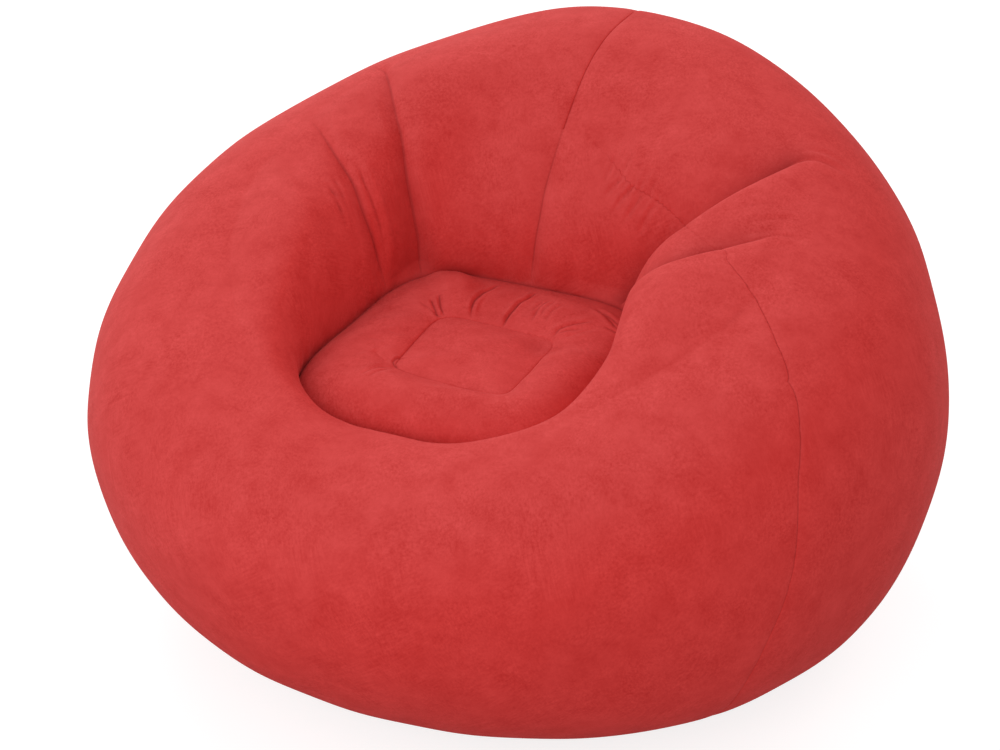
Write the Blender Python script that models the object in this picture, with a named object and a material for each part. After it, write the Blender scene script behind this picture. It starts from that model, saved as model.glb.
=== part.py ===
"""Inflatable armchair: a fat ring of welded film, high at the back and low at the front, round a small padded
seat that inner webs hold down, with an air valve on the left side.

Metres, +Z up. The front faces -Y, and the origin is on the floor under the middle of the chair.
An angle round the chair is 0 at the front, 90 on the viewer's right (+X) and 180 at the back.
A stage runs over the ring's skin: 0 at the base seam, 1 at the girth, 2 at the rim, 3 at the seat seam."""

from math import asin, cos, degrees, hypot, pi, radians, sin

import bmesh
import bpy
import numpy as np
from mathutils import Matrix, Vector

# Girth, the widest line round the chair
CHAIR_WIDTH = 1.076
CHAIR_DEPTH = 1.040
FRONT_GIRTH_HEIGHT = 0.279
BACK_GIRTH_HEIGHT = 0.299
GIRTH_POWER = 2.08

# Rim, the crest of the ring
FRONT_RIM_HEIGHT = 0.396
ARM_RIM_HEIGHT = 0.550
BACK_RIM_HEIGHT = 0.688
BACK_RIM_FULLNESS = 0.009
RIM_WIDTH = 0.690
RIM_FRONT_REACH = 0.377
RIM_BACK_REACH = 0.358
RIM_POWER = 1.9

# Base seam, where the ring meets the bottom
BASE_SEAM_WIDTH = 0.718
BASE_SEAM_FRONT_REACH = 0.314
BASE_SEAM_BACK_REACH = 0.331
BASE_SEAM_HEIGHT = 0.025
BASE_FLAT_SHARE = 0.8
BASE_MIDDLE_SHARE = 0.45

# Seat seam, the crease round the seat
SEAT_WIDTH = 0.366
SEAT_FRONT_REACH = 0.308
SEAT_BACK_REACH = 0.051
SEAT_FRONT_HEIGHT = 0.356
SEAT_BACK_HEIGHT = 0.408
SEAT_POWER = 4.1

# Welded rectangle in the seat
RECTANGLE_WIDTH = 0.147
RECTANGLE_FRONT_REACH = 0.204
RECTANGLE_BACK_REACH = 0.079
RECTANGLE_HEIGHT = 0.399
RECTANGLE_POWER = 8.0
LAND_WIDTH = 0.012
BORDER_CROWN = 0.030
MIDDLE_CROWN = 0.008

# How full the ring is below the girth, above it, and inside the rim at the sides and at the front and back
FLANK_POWER = 2.02
SHOULDER_POWER = 2.09
ARM_WALL_POWER = 2.43
END_WALL_POWER = 1.56

# Film and welds
FILM = 0.0008
SEAM_GAP = 0.0003
WELD_WIDTH = 0.008
SEAT_FIN_LEAN_SHARE = 0.35
SEAM_LOOK_ANGLE = 2

# Shoulder seam: the stage it runs at over the arm and the back, and its angle where it drops down the flank
SEAM_ROW_ANGLES = (0, 66, 70, 75, 91, 110, 133, 159, 176, 180)
SEAM_ROW_STAGES = (1.60, 1.67, 1.82, 1.97, 2.23, 2.49, 2.62, 2.62, 2.54, 2.50)
SEAM_DROP_STAGES = (0, 0.59, 0.82, 1.0, 1.33, 1.49, 1.67)
SEAM_DROP_ANGLES = (52, 53, 54.5, 57, 60, 63, 66)
SEAM_CORNER_ANGLE = 66
SEAM_SPREAD_ANGLE = 50

# Folds of the inner wall: angle, stage where each one starts, and depth
DEEP_FOLD = 0.016
SHALLOW_FOLD = 0.009
CENTRE_FOLD = 0.012
FOLD_HALF_ANGLE = 5
FOLDS = (
    (-127, 2.0, DEEP_FOLD),
    (-103, 2.1, SHALLOW_FOLD),
    (95, 2.1, SHALLOW_FOLD),
    (117, 2.0, DEEP_FOLD),
    (180, 2.45, CENTRE_FOLD),
)

# Mesh of the skin: columns round the chair, and rows below and above the shoulder seam
COLUMN_STEP_ANGLE = 10
NEAREST_COLUMN_SHARE = 0.45
LOWER_ROW_SHARES = (0, 0.11, 0.22, 0.32, 0.41, 0.54, 0.64, 0.73, 0.82, 0.91, 1)
UPPER_ROW_SHARES = (0.18, 0.36, 0.54, 0.7, 0.85, 1)
SEAT_BORDER_SHARES = (0, 0.15, 0.35, 0.55, 0.75, 0.9, 1)
SEAT_MIDDLE_SHARES = (0.3, 0.65, 1)
BASE_RISE_SHARES = (0.4, 0.75, 1)
VALVE_ROWS = (4, 5)
VALVE_ANGLE = -90

# Inner webs
TIE_FOOT_SHARE = 0.92
TIE_ROW_SHARES = (0, 0.3, 0.6, 1)
VENT_EVERY = 5
TIE_CORNER_GAP = 0.012
TIE_COLUMNS = 5

# Valve: sizes across, then sizes along its axis
VALVE_RECESS = 0.004
FLANGE_RADIUS = 0.030
PATCH_MARGIN = 0.012
NECK_RADIUS = 0.017
NECK_WALL = 0.003
THROAT_RADIUS = 0.009
HINGE_MARGIN = 0.002
BOSS_CLEARANCE = 0.0006
FLAP_LAP = 0.0015
TAB_WIDTH = 0.008
TAB_LAP = 0.001
LIP_REACH = 0.004
FLANGE_THICKNESS = 0.0012
NECK_HEIGHT = 0.006
SLEEVE_DEPTH = 0.012
PLUG_DEPTH = 0.014
PLUG_RIM = 0.0030
CAP_THICKNESS = 0.0016
BOSS_DEPTH = 0.0030
FLAP_THICKNESS = 0.0008
FIT_GAP = 0.0003
TURNED_SIDES = 36
SHARP_ANGLE = 30
CUT_OVERRUN = 0.004

MERGE_DISTANCE = 1e-6
ANGLE_DIGITS = 12

FLOCK_RED = (0.60, 0.045, 0.045)
VINYL_RED = (0.34, 0.022, 0.024)
VALVE_WHITE = (0.72, 0.70, 0.66)
WEB_CLEAR = (0.62, 0.60, 0.58)

CORE_HEIGHT = (FRONT_GIRTH_HEIGHT + BACK_GIRTH_HEIGHT) / 2
PATCH_HALF = FLANGE_RADIUS + PATCH_MARGIN
BORE_RADIUS = NECK_RADIUS - NECK_WALL
STEM_RADIUS = BORE_RADIUS - FIT_GAP
HINGE_REACH = NECK_RADIUS + HINGE_MARGIN
VALVE_PLACE = Vector((-(CHAIR_WIDTH / 2 - VALVE_RECESS), 0, CORE_HEIGHT))


def clear_scene():
    for old in list(bpy.data.objects):
        bpy.data.objects.remove(old)


def material(name, colour, roughness):
    made = bpy.data.materials.new(name)
    made.use_nodes = True
    shader = made.node_tree.nodes["Principled BSDF"]
    shader.inputs["Base Color"].default_value = (*colour, 1)
    shader.inputs["Roughness"].default_value = roughness
    shader.inputs["Metallic"].default_value = 0
    return made


def new_object(name, mesh_data, finish):
    """Put a bmesh into the scene as a smooth-shaded object of one finish."""
    mesh = bpy.data.meshes.new(name)
    mesh_data.to_mesh(mesh)
    mesh_data.free()
    mesh.materials.append(finish)
    mesh.shade_smooth()
    made = bpy.data.objects.new(name, mesh)
    bpy.context.scene.collection.objects.link(made)
    return made


def cutter(made):
    made.hide_render = True
    made.display_type = "WIRE"
    return made


def combine(made, other, operation):
    """Join another shape to a piece, or cut it out of the piece."""
    step = made.modifiers.new(other.name, "BOOLEAN")
    step.operation = operation
    step.solver = "EXACT"
    step.object = other


def oval(angle, width, front_reach, back_reach, power):
    """The point of a rounded plan at this angle. A power of 2 gives an ellipse, and more a squarer shape."""
    across = round(sin(radians(angle)), ANGLE_DIGITS)
    along = round(cos(radians(angle)), ANGLE_DIGITS)
    middle = (back_reach - front_reach) / 2
    half_depth = (back_reach + front_reach) / 2
    x = width / 2 * np.sign(across) * abs(across) ** (2 / power)
    y = middle - half_depth * np.sign(along) * abs(along) ** (2 / power)
    return x, y


def front_to_back(angle, front, back):
    return (front + back) / 2 + (front - back) / 2 * cos(radians(angle))


def base_seam(angle):
    place = oval(angle, BASE_SEAM_WIDTH, BASE_SEAM_FRONT_REACH, BASE_SEAM_BACK_REACH, 2)
    return np.array([*place, BASE_SEAM_HEIGHT])


def girth(angle):
    place = oval(angle, CHAIR_WIDTH, CHAIR_DEPTH / 2, CHAIR_DEPTH / 2, GIRTH_POWER)
    return np.array([*place, front_to_back(angle, FRONT_GIRTH_HEIGHT, BACK_GIRTH_HEIGHT)])


def rim(angle):
    """The crest: the arms are a little higher or lower than halfway, and the back is a broad hump."""
    place = oval(angle, RIM_WIDTH, RIM_FRONT_REACH, RIM_BACK_REACH, RIM_POWER)
    turn = radians(angle)
    halfway = (FRONT_RIM_HEIGHT + BACK_RIM_HEIGHT) / 2
    arms = (halfway - ARM_RIM_HEIGHT) / 2
    height = halfway - arms + arms * cos(2 * turn)
    height += (FRONT_RIM_HEIGHT - BACK_RIM_HEIGHT) / 2 * cos(turn)
    height += BACK_RIM_FULLNESS * (cos(turn) - cos(3 * turn))
    return np.array([*place, height])


def seat_seam(angle):
    place = oval(angle, SEAT_WIDTH, SEAT_FRONT_REACH, SEAT_BACK_REACH, SEAT_POWER)
    return np.array([*place, front_to_back(angle, SEAT_FRONT_HEIGHT, SEAT_BACK_HEIGHT)])


def core(angle):
    """The middle of the ring's tube, under its rim."""
    return np.array([*rim(angle)[:2], CORE_HEIGHT])


def seat_fin_direction(angle):
    """The way the seat's weld fins point: down, leaning square out from the seam."""
    ahead = seat_seam(angle + SEAM_LOOK_ANGLE) - seat_seam(angle - SEAM_LOOK_ANGLE)
    lean = SEAT_FIN_LEAN_SHARE / hypot(ahead[0], ahead[1])
    return Vector((ahead[1] * lean, -ahead[0] * lean, -1)).normalized()


def fin_direction(angle, point):
    """The way a weld's fin points: down under the seat's edge, and elsewhere to the middle of the tube."""
    if (Vector(point) - Vector(seat_seam(angle))).length < SEAM_GAP:
        return seat_fin_direction(angle)
    return (Vector(core(angle)) - Vector(point)).normalized()


def quarter(share, power):
    """A quarter arc from 0 to 1: its run, which leads at first, and its rise."""
    turn = share * pi / 2
    return sin(turn) ** (2 / power), 1 - cos(turn) ** (2 / power)


def fold_depth(angle, stage):
    depth = 0
    for middle, start, deepest in FOLDS:
        away = abs((angle - middle + 180) % 360 - 180)
        along = (stage - start) / (3 - start)
        if away < FOLD_HALF_ANGLE and 0 < along < 1:
            depth += deepest * (1 - away / FOLD_HALF_ANGLE) * sin(pi * along)
    return depth


def ring_point(angle, stage):
    """A point of the ring's outer skin."""
    part = min(int(stage), 2)
    start, end = ((base_seam, girth), (girth, rim), (rim, seat_seam))[part]
    side = (ARM_WALL_POWER - END_WALL_POWER) / 2
    wall_power = END_WALL_POWER + side - side * cos(radians(2 * angle))
    run, rise = quarter(stage - part, (FLANK_POWER, SHOULDER_POWER, wall_power)[part])
    steps = ((run, run, rise), (rise, rise, run), (run, run, rise))[part]
    point = start(angle) + (end(angle) - start(angle)) * np.array(steps)
    inwards = core(angle) - point
    return point + inwards / np.linalg.norm(inwards) * fold_depth(angle, stage)


def column_angles():
    """Columns every few degrees, and at each fold and its sides, the seam's corner and the valve's patch."""
    patch = degrees(asin(PATCH_HALF / (CHAIR_DEPTH / 2)))
    past_corner = SEAM_CORNER_ANGLE + COLUMN_STEP_ANGLE / 2
    special = {-180, 180, SEAM_CORNER_ANGLE, past_corner, VALVE_ANGLE - patch, VALVE_ANGLE + patch}
    for middle, _, _ in FOLDS:
        for angle in (middle - FOLD_HALF_ANGLE, middle, middle + FOLD_HALF_ANGLE):
            special.add((angle + 180) % 360 - 180 if angle != 180 else 180)
    nearest = NEAREST_COLUMN_SHARE * COLUMN_STEP_ANGLE
    regular = {
        angle
        for angle in range(-180, 181, COLUMN_STEP_ANGLE)
        if abs(angle - VALVE_ANGLE) > patch and min(abs(angle - other) for other in special) > nearest
    }
    return sorted(special | regular)


def skin_place(column_angle, row):
    """The angle and the stage of a grid point. The grid bends to run along the shoulder seam."""
    seam_stage = np.interp(abs(column_angle), SEAM_ROW_ANGLES, SEAM_ROW_STAGES)
    if row < len(LOWER_ROW_SHARES):
        stage = seam_stage * LOWER_ROW_SHARES[row]
    else:
        stage = seam_stage + (3 - seam_stage) * UPPER_ROW_SHARES[row - len(LOWER_ROW_SHARES)]
    lean = np.interp(stage, SEAM_DROP_STAGES, SEAM_DROP_ANGLES) - SEAM_CORNER_ANGLE
    near = max(0, 1 - abs(column_angle - SEAM_CORNER_ANGLE) / SEAM_SPREAD_ANGLE)
    return column_angle + lean * near, stage


def flatten_for_valve(points, angles):
    """Draw the skin in to a flat square patch, which the valve's flange is welded behind."""
    after = next(column for column, angle in enumerate(angles) if angle > VALVE_ANGLE)
    for row, up in zip(VALVE_ROWS, (-1, 1)):
        for column, along in ((after - 1, 1), (after, -1)):
            points[row][column] = np.array(VALVE_PLACE) + np.array((0, along, up)) * PATCH_HALF


def ring_grid(angles):
    """Every row of the ring's skin, from the base seam to the seat seam, with each column's real angle."""
    rows = range(len(LOWER_ROW_SHARES) + len(UPPER_ROW_SHARES))
    places = [[skin_place(angle, row) for angle in angles] for row in rows]
    points = [[ring_point(*place) for place in line] for line in places]
    flatten_for_valve(points, angles)
    return points, [[place[0] for place in line] for line in places]


def sheet(points, turns, keep=None):
    """An open sheet through rows of points. Each vertex remembers its angle round the chair."""
    rows, columns = len(points), len(points[0])
    made = bmesh.new()
    turn_layer = made.verts.layers.float.new("turn")
    bmesh.ops.create_grid(made, x_segments=columns - 1, y_segments=rows - 1, size=1)
    cells = {}
    for vertex in made.verts:
        column = round((vertex.co.x + 1) / 2 * (columns - 1))
        row = round((vertex.co.y + 1) / 2 * (rows - 1))
        cells[vertex] = (row, column)
        vertex[turn_layer] = turns[row][column]
        vertex.co = points[row][column]
    if keep:
        dropped = [face for face in made.faces if not keep(*min(cells[vertex] for vertex in face.verts))]
        bmesh.ops.delete(made, geom=dropped, context="FACES")
    bmesh.ops.remove_doubles(made, verts=made.verts, dist=MERGE_DISTANCE)
    return made, turn_layer


def off_the_seam(vertex, inwards, border_edges):
    """How far a border vertex steps into its own panel, so that its fin stands half a gap off the seam."""
    sides = []
    for edge in (edge for edge in vertex.link_edges if edge in border_edges):
        along = edge.other_vert(vertex).co - vertex.co
        side = inwards.cross(along).normalized()
        into_panel = edge.link_faces[0].calc_center_median() - vertex.co
        sides.append(side if side.dot(into_panel) > 0 else -side)
    total = sides[0] + sides[1]
    return total * (SEAM_GAP / 2) / (1 + sides[0].dot(sides[1]))


def add_weld_fins(made, turn_layer, edges):
    """Turn a panel's edges in towards the ring's core, half a seam gap off the seam's own line."""
    border_edges = set(edges)
    border = {vertex for edge in edges for vertex in edge.verts}
    inwards = {vertex: fin_direction(vertex[turn_layer], vertex.co) for vertex in border}
    steps = {vertex: off_the_seam(vertex, inwards[vertex], border_edges) for vertex in border}
    for vertex, step in steps.items():
        vertex.co += step
    made_parts = bmesh.ops.extrude_edge_only(made, edges=edges)["geom"]
    for vertex in [part for part in made_parts if isinstance(part, bmesh.types.BMVert)]:
        neighbours = [edge.other_vert(vertex) for edge in vertex.link_edges]
        source = next(other for other in neighbours if other in border)
        vertex.co += inwards[source] * WELD_WIDTH


def open_edges(made):
    return [edge for edge in made.edges if edge.is_boundary]


def film_object(name, made, finish):
    """Give a sheet the film's thickness on its inner side."""
    piece = new_object(name, made, finish)
    wall = piece.modifiers.new("film", "SOLIDIFY")
    wall.thickness = FILM
    wall.offset = -1
    wall.use_even_offset = True
    return piece


def ring_panels(angles, finish):
    """The two flocked skins of the ring, parted by the shoulder seam and the seam down the back."""
    points, turns = ring_grid(angles)
    corner = angles.index(SEAM_CORNER_ANGLE)
    seam_row = len(LOWER_ROW_SHARES) - 1

    def on_shoulder(row, column):
        return row < seam_row and column >= corner

    made, layer = sheet(points, turns, keep=lambda row, column: not on_shoulder(row, column))
    add_weld_fins(made, layer, open_edges(made))
    wrap = film_object("main_wrap_panel", made, finish)
    made, layer = sheet(points, turns, keep=on_shoulder)
    add_weld_fins(made, layer, open_edges(made))
    film_object("rear_shoulder_panel", made, finish)
    return wrap, turns[0]


def rectangle(angle, grow):
    """The welded rectangle's plan, let out or taken in all round."""
    place = oval(
        angle,
        RECTANGLE_WIDTH + 2 * grow,
        RECTANGLE_FRONT_REACH + grow,
        grow - RECTANGLE_BACK_REACH,
        RECTANGLE_POWER,
    )
    return np.array([*place, RECTANGLE_HEIGHT])


def seat_rows(angle):
    """One column of the seat, from the crease over the puffed border and the weld's land to the middle."""
    crease = seat_seam(angle)
    outer = rectangle(angle, LAND_WIDTH / 2)
    inner = rectangle(angle, -LAND_WIDTH / 2)
    centre = np.array([0, -(RECTANGLE_FRONT_REACH + RECTANGLE_BACK_REACH) / 2, RECTANGLE_HEIGHT])
    rows = []
    for share in SEAT_BORDER_SHARES:
        rows.append(crease + (outer - crease) * share + np.array([0, 0, BORDER_CROWN * sin(pi * share)]))
    rows.append(inner)
    for share in SEAT_MIDDLE_SHARES:
        rows.append(inner + (centre - inner) * share + np.array([0, 0, MIDDLE_CROWN * sin(pi / 2 * share)]))
    return rows


def rows_of(columns):
    return [list(row) for row in zip(*columns)]


def seat_panel(angles, finish):
    points = rows_of([seat_rows(angle) for angle in angles])
    made, layer = sheet(points, [angles] * len(points))
    add_weld_fins(made, layer, open_edges(made))
    return film_object("seat_panel", made, finish)


def base_rows(angle):
    """One column of the bottom: flat where it rests, then up to the base seam."""
    seam = base_seam(angle)
    flat = seam * BASE_FLAT_SHARE
    rows = [np.zeros(3), np.array([*seam[:2] * BASE_MIDDLE_SHARE, 0]), np.array([*flat[:2], 0])]
    for share in BASE_RISE_SHARES:
        rise = 1 - cos(pi / 2 * share)
        rows.append(np.array([*(flat + (seam - flat) * share)[:2], BASE_SEAM_HEIGHT * rise]))
    return rows


def base_panel(angles, finish):
    points = rows_of([base_rows(angle) for angle in angles])
    made, layer = sheet(points, [angles] * len(points))
    add_weld_fins(made, layer, open_edges(made))
    return film_object("base_panel", made, finish)


def tie_foot(angle):
    foot = base_seam(angle) * BASE_FLAT_SHARE * TIE_FOOT_SHARE
    return np.array([*foot[:2], FILM + SEAM_GAP + FILM])


def edge_tie_rows(angle):
    """One column of the tube under the seat's edge: foot flange, web, and a flange by the seat's fin."""
    seam = seat_seam(angle)
    inwards = np.array(seat_fin_direction(angle))
    level = hypot(inwards[0], inwards[1])
    across = np.array([*(-inwards[2] / level * inwards[:2]), level])
    below = seam - across * (SEAM_GAP / 2 + FILM + SEAM_GAP)
    top, foot = below + inwards * WELD_WIDTH, tie_foot(angle)
    outwards = np.array([foot[0], foot[1], 0]) / hypot(foot[0], foot[1])
    web = [foot + (top - foot) * share for share in TIE_ROW_SHARES]
    return [foot + outwards * WELD_WIDTH, *web, below + inwards * 2 * FILM]


def seat_edge_tie(angles, finish):
    points = rows_of([edge_tie_rows(angle) for angle in angles])
    made, _ = sheet(points, [angles] * len(points), keep=lambda row, column: row != 2 or column % VENT_EVERY)
    return film_object("seat_edge_tie", made, finish)


def seat_tie(name, turn, reach, length, finish):
    """A vented web along one side of the rectangle, with a flange at its foot and one at its top."""
    outwards = np.array([sin(radians(turn)), -cos(radians(turn)), 0])
    along = np.array([cos(radians(turn)), sin(radians(turn)), 0])
    middle = np.array([0, -(RECTANGLE_FRONT_REACH + RECTANGLE_BACK_REACH) / 2, 0])
    foot_height = FILM + SEAM_GAP + FILM
    top_height = RECTANGLE_HEIGHT - FILM - SEAM_GAP - FILM
    web = middle + outwards * (reach - WELD_WIDTH / 2)
    flange = middle + outwards * (reach + WELD_WIDTH / 2)
    heights = [foot_height + (top_height - foot_height) * share for share in TIE_ROW_SHARES]
    profile = [(flange, foot_height), *((web, height) for height in heights), (flange, top_height)]
    half = length / 2 - TIE_CORNER_GAP
    points = []
    for place, height in profile:
        steps = np.linspace(-half, half, TIE_COLUMNS + 1)
        points.append([place + along * step + np.array([0, 0, height]) for step in steps])
    turns = [[turn] * (TIE_COLUMNS + 1)] * len(points)
    made, _ = sheet(points, turns, keep=lambda row, column: row != 2 or column % 2 == 0)
    return film_object(name, made, finish)


def seat_ties(finish):
    depth = RECTANGLE_FRONT_REACH - RECTANGLE_BACK_REACH
    for name, turn, reach, length in (
        ("seat_tie_front", 0, depth / 2, RECTANGLE_WIDTH),
        ("seat_tie_right", 90, RECTANGLE_WIDTH / 2, depth),
        ("seat_tie_back", 180, depth / 2, RECTANGLE_WIDTH),
        ("seat_tie_left", -90, RECTANGLE_WIDTH / 2, depth),
    ):
        seat_tie(name, turn, reach, length, finish)


def turned(name, profile, finish, origin=(0, 0), sides=TURNED_SIDES):
    """A turned piece of the valve. The profile is (radius, height) pairs, with heights out of the chair along
    the valve's axis. The piece's own origin is at (distance up, height) from the valve's place."""
    made = bmesh.new()
    corners = [made.verts.new((radius, 0, height)) for radius, height in profile]
    ends = corners[1:] + corners[:1]
    lines = [made.edges.new(pair) for pair in zip(corners, ends) if pair[0].co.x or pair[1].co.x]
    bmesh.ops.spin(
        made, geom=corners + lines, cent=(0, 0, 0), axis=(0, 0, 1), angle=2 * pi, steps=sides, use_merge=True
    )
    bmesh.ops.remove_doubles(made, verts=made.verts, dist=MERGE_DISTANCE)
    bmesh.ops.recalc_face_normals(made, faces=made.faces)
    bmesh.ops.translate(made, verts=made.verts, vec=(-origin[0], 0, -origin[1]))
    piece = new_object(name, made, finish)
    piece.data.set_sharp_from_angle(angle=radians(SHARP_ANGLE))
    return seat_on_valve(piece, origin)


def block(name, low, high, finish, origin=(0, 0)):
    """A box between two corners in the valve's own axes, used to add a tab to a turned piece."""
    made = bmesh.new()
    bmesh.ops.create_cube(made, size=1)
    low, high = Vector(low), Vector(high)
    bmesh.ops.scale(made, verts=made.verts, vec=high - low)
    bmesh.ops.translate(made, verts=made.verts, vec=(low + high) / 2 - Vector((origin[0], 0, origin[1])))
    return seat_on_valve(cutter(new_object(name, made, finish)), origin)


def seat_on_valve(piece, origin):
    """Stand a piece on the chair's left side: its own +Z points out of the chair and its +X points up."""
    turn = Matrix.Rotation(-pi / 2, 4, "Y")
    piece.matrix_world = Matrix.Translation(VALVE_PLACE + turn @ Vector((origin[0], 0, origin[1]))) @ turn
    return piece


def valve(wrap, finish):
    back_of_film = -FILM - SEAM_GAP
    flange_back = back_of_film - FLANGE_THICKNESS
    turned(
        "valve_base",
        [
            (BORE_RADIUS, -SLEEVE_DEPTH),
            (NECK_RADIUS, -SLEEVE_DEPTH),
            (NECK_RADIUS, flange_back),
            (FLANGE_RADIUS, flange_back),
            (FLANGE_RADIUS, back_of_film),
            (NECK_RADIUS, back_of_film),
            (NECK_RADIUS, NECK_HEIGHT),
            (BORE_RADIUS, NECK_HEIGHT),
        ],
        finish,
    )
    hole_radius = NECK_RADIUS + FIT_GAP
    hole = turned(
        "valve_hole",
        [(0, -CUT_OVERRUN), (hole_radius, -CUT_OVERRUN), (hole_radius, CUT_OVERRUN), (0, CUT_OVERRUN)],
        finish,
    )
    combine(wrap, cutter(hole), "DIFFERENCE")
    plug_top = valve_plug(finish)
    check_flap(finish)
    valve_cap(plug_top + FIT_GAP, finish)


def valve_plug(finish):
    """The stem that slides in the bore, with a rim that rests on the neck. Gives its top's height."""
    seat = NECK_HEIGHT + FIT_GAP
    top = seat + PLUG_RIM
    plug = turned(
        "valve_plug",
        [
            (THROAT_RADIUS, -PLUG_DEPTH),
            (STEM_RADIUS, -PLUG_DEPTH),
            (STEM_RADIUS, seat),
            (NECK_RADIUS, seat),
            (NECK_RADIUS, top),
            (THROAT_RADIUS, top),
        ],
        finish,
    )
    low = (NECK_RADIUS - TAB_LAP, -TAB_WIDTH / 2, seat)
    combine(plug, block("plug_tab", low, (HINGE_REACH, TAB_WIDTH / 2, top), finish), "UNION")
    return top


def check_flap(finish):
    """The soft flap on the stem's inner end. It is held by a tab at its top edge, where it bends open."""
    top = -PLUG_DEPTH - FIT_GAP
    radius = THROAT_RADIUS + FLAP_LAP
    root = (STEM_RADIUS - FLAP_THICKNESS, top)
    flap = turned(
        "check_flap",
        [(0, top - FLAP_THICKNESS), (radius, top - FLAP_THICKNESS), (radius, top), (0, top)],
        finish,
        root,
    )
    low = (radius - TAB_LAP, -TAB_WIDTH / 2, top - FLAP_THICKNESS)
    combine(flap, block("flap_tab", low, (root[0], TAB_WIDTH / 2, top), finish, root), "UNION")


def valve_cap(under, finish):
    """The cap: a boss in the throat, a tab to the hinge line at the top and a finger lip at the bottom."""
    top = under + CAP_THICKNESS
    boss_radius = THROAT_RADIUS - BOSS_CLEARANCE
    cap_radius = NECK_RADIUS
    hinge = (HINGE_REACH, under - FIT_GAP / 2)
    cap = turned(
        "valve_cap",
        [
            (0, under - BOSS_DEPTH),
            (boss_radius, under - BOSS_DEPTH),
            (boss_radius, under),
            (cap_radius, under),
            (cap_radius, top),
            (0, top),
        ],
        finish,
        hinge,
    )
    half = TAB_WIDTH / 2
    lip_tip = -cap_radius - LIP_REACH
    tab = block("cap_tab", (cap_radius - TAB_LAP, -half, under), (HINGE_REACH, half, top), finish, hinge)
    lip = block("cap_lip", (lip_tip, -half, under), (TAB_LAP - cap_radius, half, top), finish, hinge)
    combine(cap, tab, "UNION")
    combine(cap, lip, "UNION")


def main():
    clear_scene()
    flock = material("flocked_film", FLOCK_RED, 0.85)
    vinyl = material("base_vinyl", VINYL_RED, 0.5)
    web = material("web_film", WEB_CLEAR, 0.4)
    white = material("valve_vinyl", VALVE_WHITE, 0.45)
    angles = column_angles()
    wrap, base_angles = ring_panels(angles, flock)
    seat_panel(angles, flock)
    base_panel(base_angles, vinyl)
    seat_edge_tie(angles, web)
    seat_ties(web)
    valve(wrap, white)


main()
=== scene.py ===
"""Inflatable armchair: its flocked skin with the folds, seams and puckers of a blown up chair, its vinyl
bottom, its air valve, and the plain pale set that it stands on.

Metres, +Z up. The front faces -Y. An angle round the chair is 0 at the front, 90 on the viewer's right (+X)
and 180 at the back. A stage runs over the ring's skin: 0 at the base seam, 1 at the girth, 2 at the rim and
3 at the seat seam."""

from math import cos, pi, radians, sin, tau

import bmesh
import bpy
import numpy as np
from mathutils import Matrix, Vector


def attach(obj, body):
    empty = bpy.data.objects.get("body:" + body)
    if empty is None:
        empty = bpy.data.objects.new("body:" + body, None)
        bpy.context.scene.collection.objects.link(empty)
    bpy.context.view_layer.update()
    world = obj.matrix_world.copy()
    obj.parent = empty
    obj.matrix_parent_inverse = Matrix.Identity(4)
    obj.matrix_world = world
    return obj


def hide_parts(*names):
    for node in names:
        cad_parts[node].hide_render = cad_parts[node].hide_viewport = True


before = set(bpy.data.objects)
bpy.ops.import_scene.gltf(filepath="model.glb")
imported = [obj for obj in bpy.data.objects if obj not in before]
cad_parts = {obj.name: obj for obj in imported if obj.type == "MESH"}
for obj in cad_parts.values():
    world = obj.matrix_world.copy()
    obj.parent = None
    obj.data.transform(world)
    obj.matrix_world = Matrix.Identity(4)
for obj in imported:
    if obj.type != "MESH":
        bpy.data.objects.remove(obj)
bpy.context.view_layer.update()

# Girth, rim and seams, as the frame has them
CHAIR_WIDTH = 1.076
CHAIR_DEPTH = 1.040
FRONT_GIRTH_HEIGHT = 0.279
BACK_GIRTH_HEIGHT = 0.299
GIRTH_POWER = 2.08
FRONT_RIM_HEIGHT = 0.396
ARM_RIM_HEIGHT = 0.550
BACK_RIM_HEIGHT = 0.688
BACK_RIM_FULLNESS = 0.009
RIM_WIDTH = 0.690
RIM_FRONT_REACH = 0.377
RIM_BACK_REACH = 0.358
RIM_POWER = 1.9
BASE_SEAM_WIDTH = 0.718
BASE_SEAM_FRONT_REACH = 0.314
BASE_SEAM_BACK_REACH = 0.331
BASE_SEAM_HEIGHT = 0.025
BASE_FLAT_SHARE = 0.8
SEAT_WIDTH = 0.366
SEAT_FRONT_REACH = 0.308
SEAT_BACK_REACH = 0.051
SEAT_FRONT_HEIGHT = 0.356
SEAT_BACK_HEIGHT = 0.408
SEAT_POWER = 4.1
FLANK_POWER = 2.02
SHOULDER_POWER = 2.09
ARM_WALL_POWER = 2.43
END_WALL_POWER = 1.56

# Shoulder seam: its angles and stages over the arm and the back, and where it drops down the flank
SEAM_ANGLES = (0, 58, 66, 70, 76, 84, 90, 97, 104, 112, 133, 159, 176, 180)
SEAM_STAGES = (1.60, 1.62, 1.67, 1.82, 2.00, 2.13, 2.22, 2.35, 2.44, 2.51, 2.62, 2.62, 2.54, 2.50)
DROP_STAGES = (0, 0.59, 0.82, 1.0, 1.33, 1.49, 1.67)
DROP_ANGLES = (52, 53, 54.5, 57, 60, 63, 66)
SEAM_COLUMN = 66

# The fold down the middle of the back: its stages, and by how many degrees it leaves the middle there
BACK_FOLD_STAGES = (0, 2.0, 2.2, 2.35, 2.5, 2.65, 2.8, 3)
BACK_FOLD_DRIFTS = (0, 0, 0.5, 0.8, 0.6, 0.3, 0.1, 0.1)

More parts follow.
